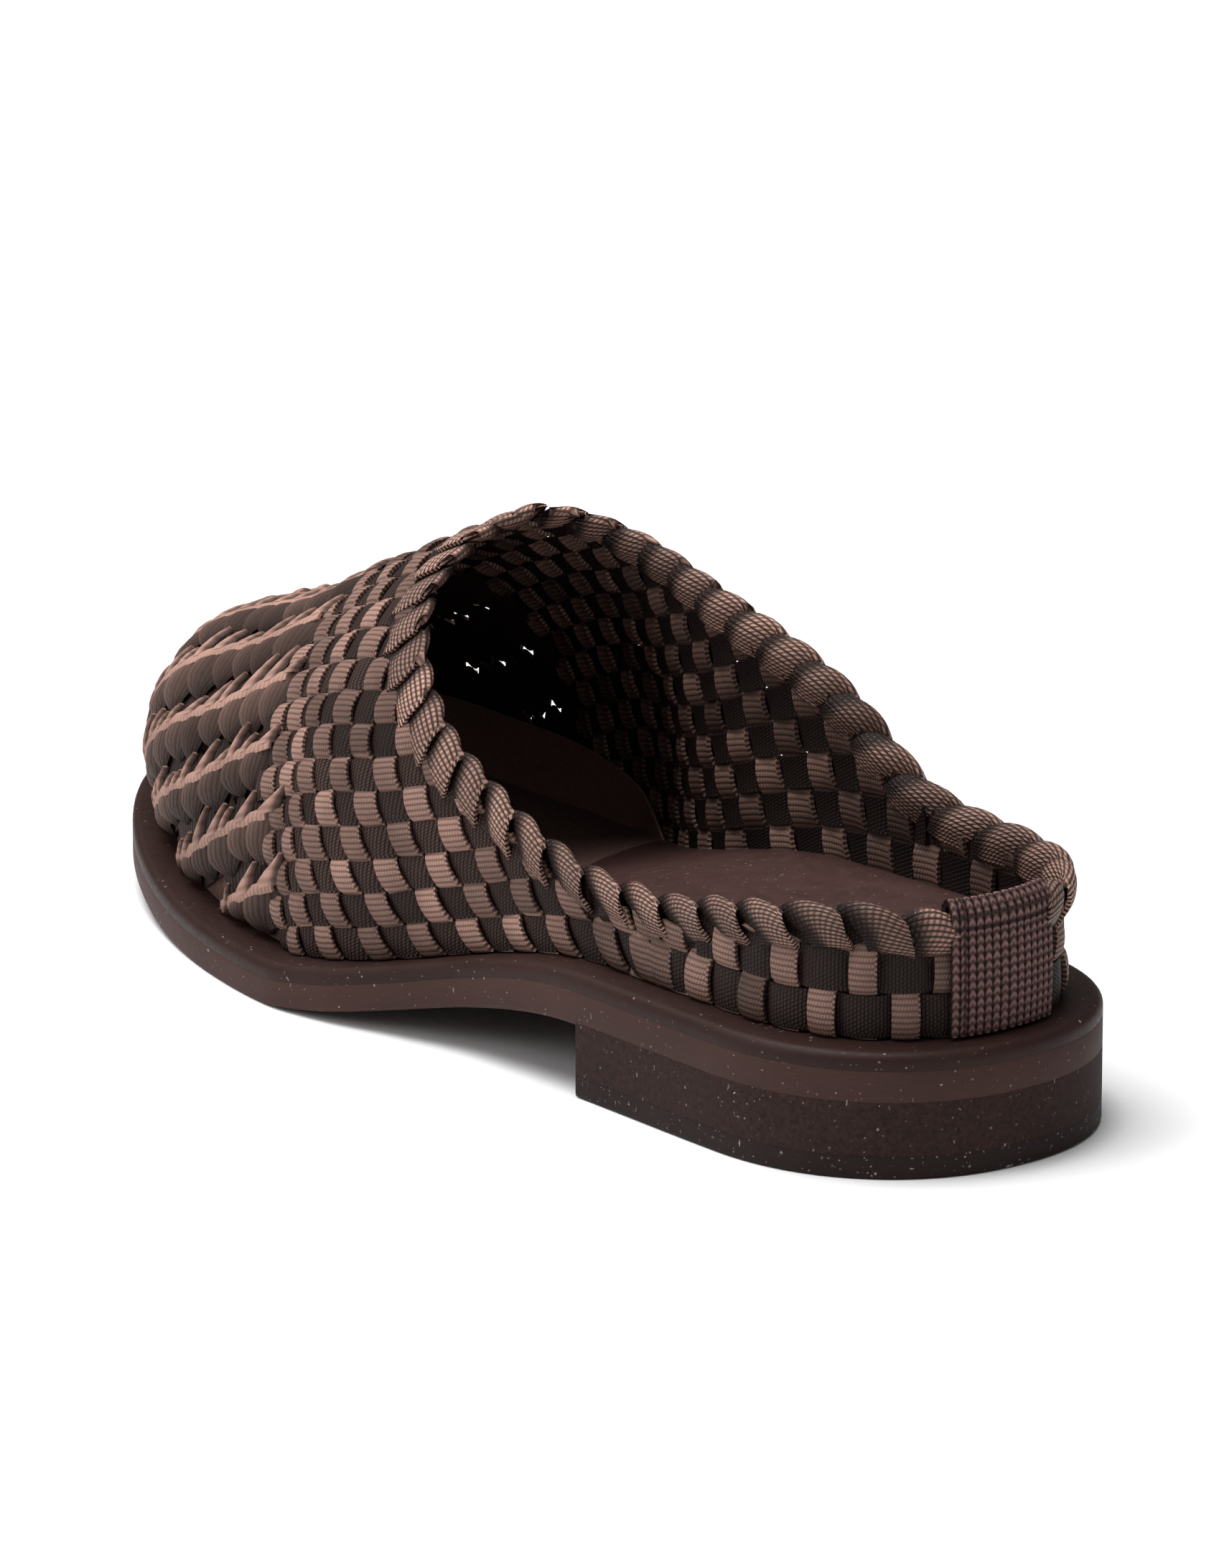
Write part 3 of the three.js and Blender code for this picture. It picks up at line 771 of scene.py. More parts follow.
class ToeBand:
    """One band of the gathered toe, along a line at a set distance from the ridge."""

    def __init__(self, piece, side, far, shares, holes):
        self.piece, self.side, self.far, self.shares, self.holes = piece, side, far, shares, holes
        line = across(shares, np.full(len(shares), side * far))[0]
        self.run = running(np.linalg.norm(np.diff(line, axis=0), axis=1))
        self.room = girth_length(side, shares) - far
        self.scales = np.clip(self.room / FULL_ROOM, LEAST_SCALE, 1)
        self.speeds = np.gradient(self.run, shares)

    def bite(self, p, spot):
        """Depth of the holes along both edges of the ground, at places along the band."""
        above, below = (
            sum((np.exp(-(((spot - hole) / HOLE_SIZE) ** 2)) for hole in holes), np.zeros_like(spot))
            for holes in self.holes
        )
        return np.where(p > 0, above, below)

    def ribbon(self, offset, half, lift, bow, tint, torn):
        """A long strip of the band, beside its line by `offset`."""

        def lay(p, q):
            s = self.shares[0] + (self.shares[-1] - self.shares[0]) * q
            rise = np.interp(s, self.shares, self.scales) ** 0.5 * (lift - bow * p**2)
            bite = torn * self.bite(p, np.interp(s, self.shares, self.run))
            away = self.far - (offset + p * (half - bite)) * BAND_PITCH
            away = np.minimum(away, girth_length(self.side, s) - SOLE_CLEAR * (p + RIBBON_LAP))
            mapped = np.stack([p, s * EDGE_LENGTH], 1)
            return across(s, self.side * away, WEAVE_LEVEL + rise)[0], mapped, tint

        self.piece.strip(RIBBON_STEPS, RIBBON_CELLS, lay, RIBBON_THICK, self.side > 0)

    def leaf(self, kind, spot):
        """One leaf at a place along the band; returns the room it takes there."""
        share, scale, speed, room = (
            np.interp(spot, self.run, values)
            for values in (self.shares, self.scales, self.speeds, self.room)
        )
        step = kind["pitch"] * scale * RANDOM.uniform(*LEAF_STEPS)
        lean = kind["skew"] * RANDOM.uniform(*LEAF_LEANS) * scale
        deep = max(kind["reach"] * RANDOM.uniform(*kind["sizes"]) * BAND_PITCH, LEAF_TUCK - float(room))
        tint = RANDOM.uniform(*kind["tints"])

        def lay(p, q):
            wide = read(kind["outline"], "wide", q)
            beside = (p * wide - kind["back"] * (1 - wide)) * step * kind["half"] + q * lean
            s = share + beside / speed
            lift, shade = kind["form"](p, q)
            away = self.far - LEAF_ROOT * BAND_PITCH - deep * q
            away = np.minimum(away, girth_length(self.side, s) - SOLE_CLEAR)
            along, athwart = kind["ribs"]
            mapped = np.stack([p * LEAF_MAP_HALF, q * along + p * athwart + LEAF_MAP_FROM], 1)
            return across(s, self.side * away, WEAVE_LEVEL + lift * scale**0.5)[0], mapped, tint * shade

        self.piece.strip(*kind["cells"], lay, kind["thick"], self.side > 0)
        return step


def gathered_toe(piece):
    """Bands at set distances from the ridge, each ending where it meets the sole."""
    first = float(share_at(GATHER_FROM - TOE_LAP))
    for side in SIDES:
        holes = {band: HOLE_FROM + np.cumsum(RANDOM.uniform(*HOLE_SPACES, HOLES)) for band in HOLE_BANDS}
        for number in range(BANDS):
            far = BAND_FROM[side] + number * BAND_PITCH
            start = first + slant(side, first, max(1 - far / girth_length(side, first), 0))
            shares = np.linspace(start, BAND_END, BAND_STEPS)
            shares = shares[girth_length(side, shares) > far + BAND_ROOM]
            if len(shares) < BAND_LEAST:
                continue
            band = ToeBand(piece, side, far, shares, [holes.get(number, ()), holes.get(number + 1, ())])
            band.ribbon(**PAINTED_SHADE_GROUND)
            band.ribbon(**PAINTED_HIGHLIGHT_FOLD)
            for kind in (SPIKES, LOBES):
                spot = kind["begin"] + kind["stagger"] * (number % 2)
                while spot < band.run[-1] - 1:
                    spot += band.leaf(kind, spot)


# Lining of the toe: its front end, the most girth it may take, and its place inside the face
LINING_END = 0.997
LINING_GIRTH = 0.7
LINING_LIFT = -3.1
LINING_THICK = 0.5
LINING_STEPS = 160
LINING_GIRTHS = 141


def toe_lining(piece):
    """Cloth inside the toe, from the insole up the wall."""
    shares = np.linspace(float(share_at(LINING_TOP[0]["y"])), LINING_END, LINING_STEPS)
    girths = np.linspace(0, LINING_GIRTH, LINING_GIRTHS)
    for side in SIDES:
        wall = on_face(side, shares[:, None], girths[None, :])[0]
        high = wall[..., 2] - wall[:, :1, 2]
        wanted = read(LINING_TOP, "high", wall[:, 0, 1])
        tops = np.array([np.interp(want, row, girths) for want, row in zip(wanted, high)])

        def lay(p, q):
            s = shares[0] + (shares[-1] - shares[0]) * q
            girth = (p + 1) / 2 * np.interp(s, shares, tops)
            return on_face(side, s, girth, LINING_LIFT)[0], np.stack([p, q], 1), EVEN_TINT

        piece.strip(100, 10, lay, LINING_THICK, side > 0)


# A small step from the collar's edge into the opening, in shares of length and of girth
OPENING_BACK = 0.01
OPENING_UP = 0.03


class CollarEdge:
    """The collar's edge as one line: outer heel, throat, inner heel."""

    def __init__(self):
        halves = []
        for side in SIDES:
            share, girth = PATH[side]
            point, normal = on_face(side, share, girth, WEAVE_LEVEL)
            outward = unit(np.cross(normal, unit(np.gradient(point, axis=0))))
            back, up = np.maximum(share - OPENING_BACK, 0), np.minimum(girth + OPENING_UP, 1.0)
            opening = on_face(side, back, up)[0] - point
            facing = np.sign(np.median((outward * opening).sum(1)))
            halves.append((point, normal, outward * facing))
        self.point, self.normal, self.outward = (np.concatenate([a, b[::-1]]) for a, b in zip(*halves))
        self.run = running(np.linalg.norm(np.diff(self.point, axis=0), axis=1))
        self.throat = self.run[len(halves[0][0]) - 1]

    def at(self, far):
        """Points, normals and ways out of the edge, at distances along the collar."""
        point, normal, outward = (
            np.stack([np.interp(far, self.run, values[:, c]) for c in range(3)], 1)
            for values in (self.point, self.normal, self.outward)
        )
        return point, unit(normal), unit(outward)


RIM = CollarEdge()

# Tape inside the loops, tinted dark as painted shade between them: half width, how far below the edge, and
# behind the face
CORE_HALF = 3.2
CORE_BELOW = 4.4
CORE_BEHIND = 0.5
CORE_THICK = 0.5
CORE_SHADE_TINT = 0.12


def collar_core(piece):
    """Tape inside the loops, all the way round the collar, tinted dark as painted shade between them."""

    def lay(p, q):
        far = q * RIM.run[-1]
        point, normal, outward = RIM.at(far)
        spot = point + outward * (CORE_HALF * p - CORE_BELOW)[:, None]
        return spot - CORE_BEHIND * normal, np.stack([p * MAP_HALF, far], 1), CORE_SHADE_TINT

    piece.strip(420, 2, lay, CORE_THICK)


# Fold of a collar loop: outward of the edge, and lift off the face, from outside to inside
FOLD = [(-6.4, -1.7), (-5.0, 0.2), (-2.9, 1.25), (-0.7, 1.2),
        (0.5, 0.1), (0.0, -1.3), (-2.4, -1.9), (-5.5, -1.5)]
FOLD_STEPS = 400
FOLD_FINE = glide(FOLD, np.linspace(0, 1, FOLD_STEPS))
FOLD_RUN = running(np.hypot(*np.diff(FOLD_FINE, axis=0).T))
FOLD_CREST = FOLD_RUN[np.argmax(FOLD_FINE[:, 0])]

# Collar loops: tape width, length of the turn over the edge, cover in pitches, and how they swell and lap
LOOP_WIDTH = 7.2
LOOP_TURN = 4.4
LOOP_COVER = 1.06
LOOP_SPREAD = 1
LEAST_LEAN = 0.3
CROWN_LEAST = 0.8
CROWN_GROWTH = 0.1
CROWN_LEVEL = 0.45
CROWN_REACH = 5.0
PROUD_REACH = 6.5
PROUD_UNTIL = 0.5
FOLD_EASE = 3
LOOP_BOW = 1.1
LAP_EASE = 0.3
LAP_DEPTH = 0.9
LAP_SHADOW = 0.95
SHADOW_FROM = -0.05
SHADOW_EASE = 0.6
LOW_SHADE = 0.3
LOW_UNTIL = -9.5
LOOP_TINTS = (0.6, 1.15)
LOOP_START = 4.0
LOOP_CLEAR = 6

# Loops along the foot, as (y, value): pitch, stand off the face, bulk and painted shade towards the heel;
# and depth by pitch
LOOP_PITCH = {-1: [(88, 11.0), (124, 6.9)], 1: [(50, 11.0), (80, 9.5), (140, 7.2)]}
LOOP_STAND = {-1: [(0, 0.3)], 1: [(16, 1.2), (32, 1.0), (60, 1.5), (140, 0.8)]}
LOOP_BULK = {-1: [(128, 1.0), (140, 0.5)], 1: [(95, 1.0), (135, 0.55)]}
LOOP_HEEL_SHADE = [(60, 0.72), (130, 1.0)]
LOOP_DEPTH = [(6.9, 1.4), (11.0, 1.0)]
THROAT_LOOP = {"pitch": 10.0, "way": 0.0, "clear": 0.0, "deep": 1.3, "stand": 0.3, "bulk": 0.5, "fade": 1.0}


def straight(table, at):
    """Straight reading of a table of (place, value)."""
    places, values = zip(*table)
    return float(np.interp(at, places, values))


def collar_loop(piece, middle, pitch, way, clear, deep, stand, bulk, fade):
    """Tape folded over the collar's edge on a slant, around a place along the collar."""
    cover = LOOP_COVER * pitch
    steep = math.sqrt(max((cover / LOOP_WIDTH) ** 2 - 1, LEAST_LEAN))
    lean = way * min(steep, max(clear - cover / 2, 0) / LOOP_TURN)
    crown = bulk * (CROWN_GROWTH * pitch + CROWN_LEAST)
    # fade is painted shade, darker towards the heel and 1 at the throat
    tint = RANDOM.uniform(*LOOP_TINTS) * fade

    def lay(p, q):
        v = np.interp(q, np.linspace(0, 1, FOLD_STEPS), FOLD_RUN) - FOLD_CREST
        u, o = glide(FOLD, q).T
        u = np.where((v < 0) & (u < 0), u * deep, u)
        turn = np.tanh(v / LOOP_TURN)
        wide = LOOP_WIDTH * np.hypot(1, lean * (1 - turn**2))
        wide = np.maximum(wide, min(cover, LOOP_WIDTH + LOOP_SPREAD))
        point, normal, outward = RIM.at(middle + p * wide / 2 + LOOP_TURN * lean * turn)
        u = u + crown * (CROWN_LEVEL - p**2) * np.exp(-((v / CROWN_REACH) ** 2))
        lap = p * way * smooth(q / LAP_EASE) * smooth((1 - q) / LAP_EASE)
        proud = stand * np.exp(-((v / PROUD_REACH) ** 2)) * (1 - smooth((v - PROUD_UNTIL) / FOLD_EASE))
        o = o * bulk + proud - LOOP_BOW * p**2 * np.tanh(o) - LAP_DEPTH * lap
        shaded = LAP_SHADOW * smooth((p * way - SHADOW_FROM) / SHADOW_EASE)
        shade = (1 - shaded) * (LOW_SHADE + (1 - LOW_SHADE) * smooth((v - LOW_UNTIL) / FOLD_EASE))
        along = v + (math.hypot(1, lean) - 1) * LOOP_TURN * turn
        spot = point + outward * u[:, None] + normal * o[:, None]
        return spot, np.stack([p * MAP_HALF, along], 1), tint * shade

    piece.strip(28, 9, lay, TAPE_THICK)


def collar_loops(piece):
    """Loops up both sides from the webbing patch, each lapping the one behind it, and one at the throat."""
    for side, way, origin in ((-1, 1, 0.0), (1, -1, RIM.run[-1])):
        spot = TAB_HALF - LOOP_START
        reach = RIM.throat if side < 0 else RIM.run[-1] - RIM.throat
        while spot < reach - LOOP_START:
            at = origin + way * spot
            y = float(np.interp(at, RIM.run, RIM.point[:, 1]))
            pitch = straight(LOOP_PITCH[side], y)
            collar_loop(
                piece, at + way * pitch / 2, pitch, way, spot + pitch / 2 - TAB_HALF + LOOP_CLEAR,
                straight(LOOP_DEPTH, pitch), straight(LOOP_STAND[side], y),
                straight(LOOP_BULK[side], y), straight(LOOP_HEEL_SHADE, y),
            )
            spot += pitch
    collar_loop(piece, RIM.throat, **THROAT_LOOP)


# Webbing patch: how far it stands above the collar, in girth, and the relief of its chains
TAB_RISE = 0.022
TAB_THICK = 1.1
CHAIN_RAISE = 0.3
CHAIN_BASE = 0.65
CHAIN_SWING = 0.35
CHAIN_MEAN = 0.6


def heel_tab(piece):
    """Webbing patch over the collar at the centre back, raised in chain columns."""
    top = float(PATH[-1][1][0]) + TAB_RISE
    path = [(0.004, 1.7), (0.08, 2.0), (top - 0.06, 2.0), (top - 0.012, 1.9), (top + 0.014, 0.2),
            (top + 0.006, -1.9), (top - 0.02, -2.9), (top - 0.15, -2.9)]
    fine = glide(path, np.linspace(0, 1, FOLD_STEPS))
    length = running(np.hypot(np.diff(fine[:, 0]) * GIRTH_MAP, np.diff(fine[:, 1])))
    fold = length[np.argmax(fine[:, 0])]

    def lay(p, q):
        x, y = p * TAB_HALF, q * length[-1]
        girth, lift = glide(path, np.interp(y, length, np.linspace(0, 1, FOLD_STEPS))).T
        column = x / CHAIN_WIDE
        f = column - np.floor(column) - 0.5
        phase = y / CHAIN_LONG + np.abs(f) * CHAIN_SLANT
        chain = (CHAIN_BASE + CHAIN_SWING * np.cos(2 * np.pi * phase)) * (1 - (2 * f) ** 4)
        lift = lift + np.sign(lift + 0.2) * CHAIN_RAISE * (chain - CHAIN_MEAN)
        return round_face(x / EDGE_LENGTH, girth, lift)[0], np.stack([x, y - fold], 1), EVEN_TINT

    piece.strip(210, 112, lay, TAB_THICK)


# Sole pieces: rings of (grow, height) lofted from heel to toe and closed across
WELD = 1e-6


def loaf(name, rings, shares, cells=10):
    """Closed piece under the outline: rings up the sides, and cells across its top and underside."""
    piece = Piece(name)
    loop = [(grow, height, 1.0) for grow, height in rings]
    loop += [(*rings[-1], 1 - 2 * k / cells) for k in range(1, cells)]
    loop += [(grow, height, -1.0) for grow, height in reversed(rings)]
    loop += [(*rings[0], 2 * k / cells - 1) for k in range(1, cells)]
    loop.append(loop[0])
    columns = []
    for grow, height, mix in loop:
        x_out, y = edge(-1, shares, grow)
        x_in, _ = edge(1, shares, grow)
        x = x_out * (1 + mix) / 2 + x_in * (1 - mix) / 2
        columns.append(np.stack([x, y, height(y)], 1))
    columns = np.array(columns)
    wide = len(loop) - 1
    long = len(shares) - 1

    def lay(p, q):
        i = np.rint((p + 1) / 2 * wide).astype(int)
        j = np.rint(q * long).astype(int)
        spot = columns[i, j]
        return spot, spot[:, [0, 1]], EVEN_TINT

    piece.strip(long, wide, lay)
    bmesh.ops.remove_doubles(piece.bm, verts=piece.bm.verts, dist=WELD)
    bmesh.ops.holes_fill(piece.bm, edges=[e for e in piece.bm.edges if e.is_boundary], sides=0)
    bmesh.ops.recalc_face_normals(piece.bm, faces=piece.bm.faces)
    return piece


def level(fn, step=0.0):
    return lambda y: fn(y) + step


def flat(z):
    return lambda y: np.full_like(np.asarray(y, float), z)


def rounded(radius, top, steps=6):
    """Rings that round a top edge inwards."""
    rings = []
    for k in range(steps + 1):
        t = math.pi / 2 * k / steps
        rings.append((radius * (math.cos(t) - 1), level(top, -radius * (1 - math.sin(t)))))
    return rings


# Materials
class Nodes:
    """Short names for making and joining shader nodes in one tree."""

    def __init__(self, tree):
        self.tree = tree

    def add(self, kind, **values):
        node = self.tree.nodes.new(kind)
        for key, value in values.items():
            setattr(node, key, value)
        return node

    def link(self, a, b):
        self.tree.links.new(a, b)

    def put(self, socket, value):
        if isinstance(value, bpy.types.NodeSocket):
            self.link(value, socket)
        else:
            socket.default_value = value

    def math(self, operation, a, b=0.0, clamp=False):
        node = self.add("ShaderNodeMath", operation=operation, use_clamp=clamp)
        self.put(node.inputs[0], a)
        self.put(node.inputs[1], b)
        return node.outputs[0]

    def times(self, a, b):
        return self.math("MULTIPLY", a, b)

    def plus(self, a, b):
        return self.math("ADD", a, b)

    def minus(self, a, b):
        return self.math("SUBTRACT", a, b)

    def most(self, a, b):
        return self.math("MAXIMUM", a, b)

    def ramp(self, value, low, high, to_low=0.0, to_high=1.0):
        node = self.add("ShaderNodeMapRange")
        node.clamp = True
        for socket, v in zip(node.inputs[:5], (value, low, high, to_low, to_high)):
            self.put(socket, v)
        return node.outputs[0]

    def noise(self, vector, scale, detail=3.0, rough=0.55):
        node = self.add("ShaderNodeTexNoise")
        self.put(node.inputs["Vector"], vector)
        self.put(node.inputs["Scale"], scale)
        self.put(node.inputs["Detail"], detail)
        self.put(node.inputs["Roughness"], rough)
        return node.outputs["Fac"]

    def mix(self, factor, a, b):
        node = self.add("ShaderNodeMix", data_type="RGBA")
        self.put(node.inputs[0], factor)
        self.put(node.inputs[6], a)
        self.put(node.inputs[7], b)
        return node.outputs[2]

    def bump(self, height, distance, strength=1.0):
        node = self.add("ShaderNodeBump")
        node.inputs["Distance"].default_value = distance
        node.inputs["Strength"].default_value = strength
        self.link(height, node.inputs["Height"])
        return node.outputs["Normal"]


def new_material(name):
    """A material, with a helper for its nodes and the inputs of its shader."""
    material = bpy.data.materials.new(name)
    material.use_nodes = True
    tree = material.node_tree
    return material, Nodes(tree), tree.nodes["Principled BSDF"].inputs


def new_group(name, inputs, outputs):
    """A shader group, with its input and output nodes."""
    group = bpy.data.node_groups.new(name, "ShaderNodeTree")
    for label, kind, value in inputs:
        socket = group.interface.new_socket(label, in_out="INPUT", socket_type=kind)
        if value is not None:
            socket.default_value = value
    for label, kind in outputs:
        group.interface.new_socket(label, in_out="OUTPUT", socket_type=kind)
    return group, group.nodes.new("NodeGroupInput"), group.nodes.new("NodeGroupOutput")


def lint_group():
    """Pale dust and short fibres scattered over a dark surface."""
    group, given, out = new_group(
        "lint",
        [("Vector", "NodeSocketVector", None), ("Amount", "NodeSocketFloat", 0.5)],
        [("Mask", "NodeSocketFloat")],
    )
    n = Nodes(group)
    bend = n.add("ShaderNodeTexNoise")
    n.link(given.outputs["Vector"], bend.inputs["Vector"])
    bend.inputs["Scale"].default_value = 500.0
    shift = n.add("ShaderNodeVectorMath", operation="MULTIPLY_ADD")
    n.link(bend.outputs["Color"], shift.inputs[0])
    shift.inputs[1].default_value = (0.0012, 0.0012, 0.0012)
    n.link(given.outputs["Vector"], shift.inputs[2])
    masks = []
    # Turn and scale of the cells, size of a fleck in its cell, and share of the cells that have one
    for turn, scale, size, share in (
        ((0.0, 0.0, 0.0), (760.0, 760.0, 760.0), 0.22, 0.7),
        ((0.4, 0.2, 0.1), (1300.0, 1300.0, 1300.0), 0.3, 0.6),
        ((0.6, 0.3, 0.5), (260.0, 1300.0, 1300.0), 0.22, 0.5),
        ((-0.5, 0.8, -0.4), (1300.0, 1300.0, 260.0), 0.22, 0.5),
    ):
        mapping = n.add("ShaderNodeMapping")
        n.link(shift.outputs[0], mapping.inputs["Vector"])
        mapping.inputs["Rotation"].default_value = turn
        mapping.inputs["Scale"].default_value = scale
        cells = n.add("ShaderNodeTexVoronoi", feature="F1")
        n.link(mapping.outputs[0], cells.inputs["Vector"])
        cells.inputs["Scale"].default_value = 1.0
        split = n.add("ShaderNodeSeparateColor")
        n.link(cells.outputs["Color"], split.inputs[0])
        near = n.math("LESS_THAN", cells.outputs["Distance"], n.times(split.outputs[1], size))
        limit = n.minus(1.0, n.times(given.outputs["Amount"], share))
        chosen = n.math("GREATER_THAN", split.outputs[0], limit)
        masks.append(n.times(n.times(near, chosen), split.outputs[2]))
    patch = n.ramp(n.noise(given.outputs["Vector"], 45.0), 0.35, 0.65, 0.35, 1.0)
    every = n.most(n.most(masks[0], masks[1]), n.most(masks[2], masks[3]))
    n.link(n.times(every, patch), out.inputs["Mask"])
    return group


# Where the beaded edge of a tape starts and is full, in millimetres from its middle
BEAD_EDGE = (3.0, 3.25)


def weave_group():
    """Fine cords of a ribbed tape: soft ribs, slanting dashes, and beaded edges."""
    group, given, out = new_group(
        "ribbed_tape",
        [("Map", "NodeSocketVector", None), ("Rib", "NodeSocketFloat", 1.35),
         ("Dash", "NodeSocketFloat", 0.3), ("Both", "NodeSocketFloat", 0.0)],
        [("Thread", "NodeSocketFloat"), ("Gap", "NodeSocketFloat")],
    )
    n = Nodes(group)
    split = n.add("ShaderNodeSeparateXYZ")
    n.link(given.outputs["Map"], split.inputs[0])
    x, y = split.outputs[0], split.outputs[1]

    def ripple(turns):
        swing = n.math("COSINE", n.times(turns, math.tau))
        return n.plus(n.times(swing, 0.5), 0.5)

    row = n.math("DIVIDE", y, given.outputs["Rib"])
    odd = n.times(n.math("MODULO", n.math("FLOOR", row), 2.0), 0.5)
    slope = n.times(n.math("FRACT", row), 0.55)
    dash = n.ramp(ripple(n.plus(n.plus(n.math("DIVIDE", x, 0.78), odd), slope)), 0.0, 0.8)
    rib = n.ramp(ripple(n.minus(row, 0.5)), 0.0, 0.7)
    broken = n.times(given.outputs["Dash"], n.minus(1.0, dash))
    body = n.times(rib, n.minus(1.0, broken))
    left = n.ramp(n.times(x, -1.0), *BEAD_EDGE)
    right = n.times(n.ramp(x, *BEAD_EDGE), given.outputs["Both"])
    beaded = n.most(left, right)
    bead = n.ramp(ripple(n.math("DIVIDE", y, 0.9)), 0.2, 0.8)
    plain = n.times(body, n.minus(1.0, beaded))
    n.link(n.plus(plain, n.times(bead, beaded)), out.inputs["Thread"])
    n.link(n.times(beaded, n.minus(1.0, bead)), out.inputs["Gap"])
    return group


LINT = lint_group()
RIBBED = weave_group()


def place_group(n, group, **values):
    node = n.add("ShaderNodeGroup", node_tree=group)
    for key, value in values.items():
        n.put(node.inputs[key], value)
    return node.outputs


def coordinates(n):
    return n.add("ShaderNodeTexCoord").outputs["Object"]


def tape_material(name, dark, pale, rough, floor, rib, dash, both, depth):
    """Ribbed tape: colours, roughness, darkest share of its ribs, rib length, dashes, beads, relief. Its
    thread pattern is partly the weave's own, partly painted light: pale crests and dashes as painted
    highlights, dark rib valleys and bead gaps as painted shade.
    """
    material, n, shader = new_material(name)
    uv = n.add("ShaderNodeUVMap", uv_map="tape").outputs[0]
    cords = place_group(n, RIBBED, Map=uv, Rib=rib, Dash=dash, Both=both)
    thread = cords["Thread"]
    tint = n.add("ShaderNodeAttribute", attribute_name="tint").outputs["Fac"]
    patch = n.ramp(n.noise(coordinates(n), 60.0), 0.3, 0.7, 0.75, 1.15)
    # Thread sets the colour as well as the bump: painted highlights on the crests, painted shade in the
    # valleys and bead gaps
    shade = n.times(n.times(tint, patch), n.ramp(thread, 0.05, 0.85, floor, 1.0))
    open_share = n.minus(1.0, n.times(cords["Gap"], 0.45))
    shade = n.math("MULTIPLY", shade, open_share, clamp=True)
    n.link(n.mix(shade, (*dark, 1), (*pale, 1)), shader["Base Color"])
    n.link(n.ramp(thread, 0.0, 1.0, rough + 0.25, rough - 0.05), shader["Roughness"])
    shader["Specular IOR Level"].default_value = 0.18
    n.link(n.bump(thread, depth, 0.9), shader["Normal"])
    return material


DUST = (0.36, 0.33, 0.31, 1)


def rubber_material(name, dark, pale, grain, grain_size, depth, rough, lint, streak=0.0):
    """Matte rubber or cloth: colours, share and size of its grain, relief, roughness, dust, streaks."""
    material, n, shader = new_material(name)
    where = coordinates(n)
    mapping = n.add("ShaderNodeMapping")
    mapping.inputs["Scale"].default_value = (1, 1, 1 + streak)
    n.link(where, mapping.inputs["Vector"])
    fine = n.noise(mapping.outputs[0], grain_size, 6.0, 0.65)
    broad = n.noise(where, 38.0, 4.0)
    shade = n.plus(n.ramp(fine, 0.3, 0.7, 0.0, grain), n.ramp(broad, 0.3, 0.7, 0.0, 1 - grain))
    colour = n.mix(shade, (*dark, 1), (*pale, 1))
    dust = place_group(n, LINT, Vector=where, Amount=lint)["Mask"]
    colour = n.mix(n.times(dust, 0.85), colour, DUST)
    n.link(colour, shader["Base Color"])
    n.link(n.ramp(fine, 0.3, 0.7, rough - 0.07, rough + 0.1), shader["Roughness"])
    shader["Specular IOR Level"].default_value = 0.13
    n.link(n.bump(fine, depth, 0.6), shader["Normal"])
    return material


# Front edge of the sock in metres: an arc that runs back with the square of the distance from SOCK_X
SOCK_X = 0.0347
SOCK_FRONT = 0.015
SOCK_CURVE = 14.5
SOCK_EDGE = 0.0004
SOCK_DUST = (0.4, 0.36, 0.33, 1)


def insole_material():
    """Smooth sock under the heel and arch, with napped cloth ahead of its curved front edge."""
    material, n, shader = new_material("insole_leather")
    where = coordinates(n)
    split = n.add("ShaderNodeSeparateXYZ")
    n.link(where, split.inputs[0])
    bow = n.math("POWER", n.math("ABSOLUTE", n.minus(SOCK_X, split.outputs[0])), 2.0)
    front = n.minus(SOCK_FRONT, n.times(bow, SOCK_CURVE))
    ahead = n.ramp(n.minus(split.outputs[1], front), -SOCK_EDGE, SOCK_EDGE)
    grain = n.noise(where, 260.0, 5.0, 0.6)
    nap = n.noise(where, 900.0, 4.0, 0.7)
    sock = n.mix(n.ramp(grain, 0.3, 0.7), (0.038, 0.0175, 0.0152, 1), (0.056, 0.027, 0.0238, 1))
    cloth = n.mix(n.ramp(nap, 0.3, 0.7), (0.088, 0.05, 0.041, 1), (0.147, 0.084, 0.07, 1))
    dust = place_group(n, LINT, Vector=where, Amount=0.25)["Mask"]
    colour = n.mix(n.times(dust, 0.6), n.mix(ahead, sock, cloth), SOCK_DUST)
    n.link(colour, shader["Base Color"])
    n.link(n.ramp(ahead, 0.0, 1.0, 0.5, 0.9), shader["Roughness"])
    shader["Specular IOR Level"].default_value = 0.2
    height = n.plus(n.times(grain, 0.06), n.minus(1.0, ahead))
    n.link(n.bump(height, 0.0006, 0.8), shader["Normal"])
    return material


# Stitched lines of the webbing, in millimetres from its fold and from its middle
STITCH_ROWS = (-3.6, -6.0)
STITCH_COLUMN = -10.0


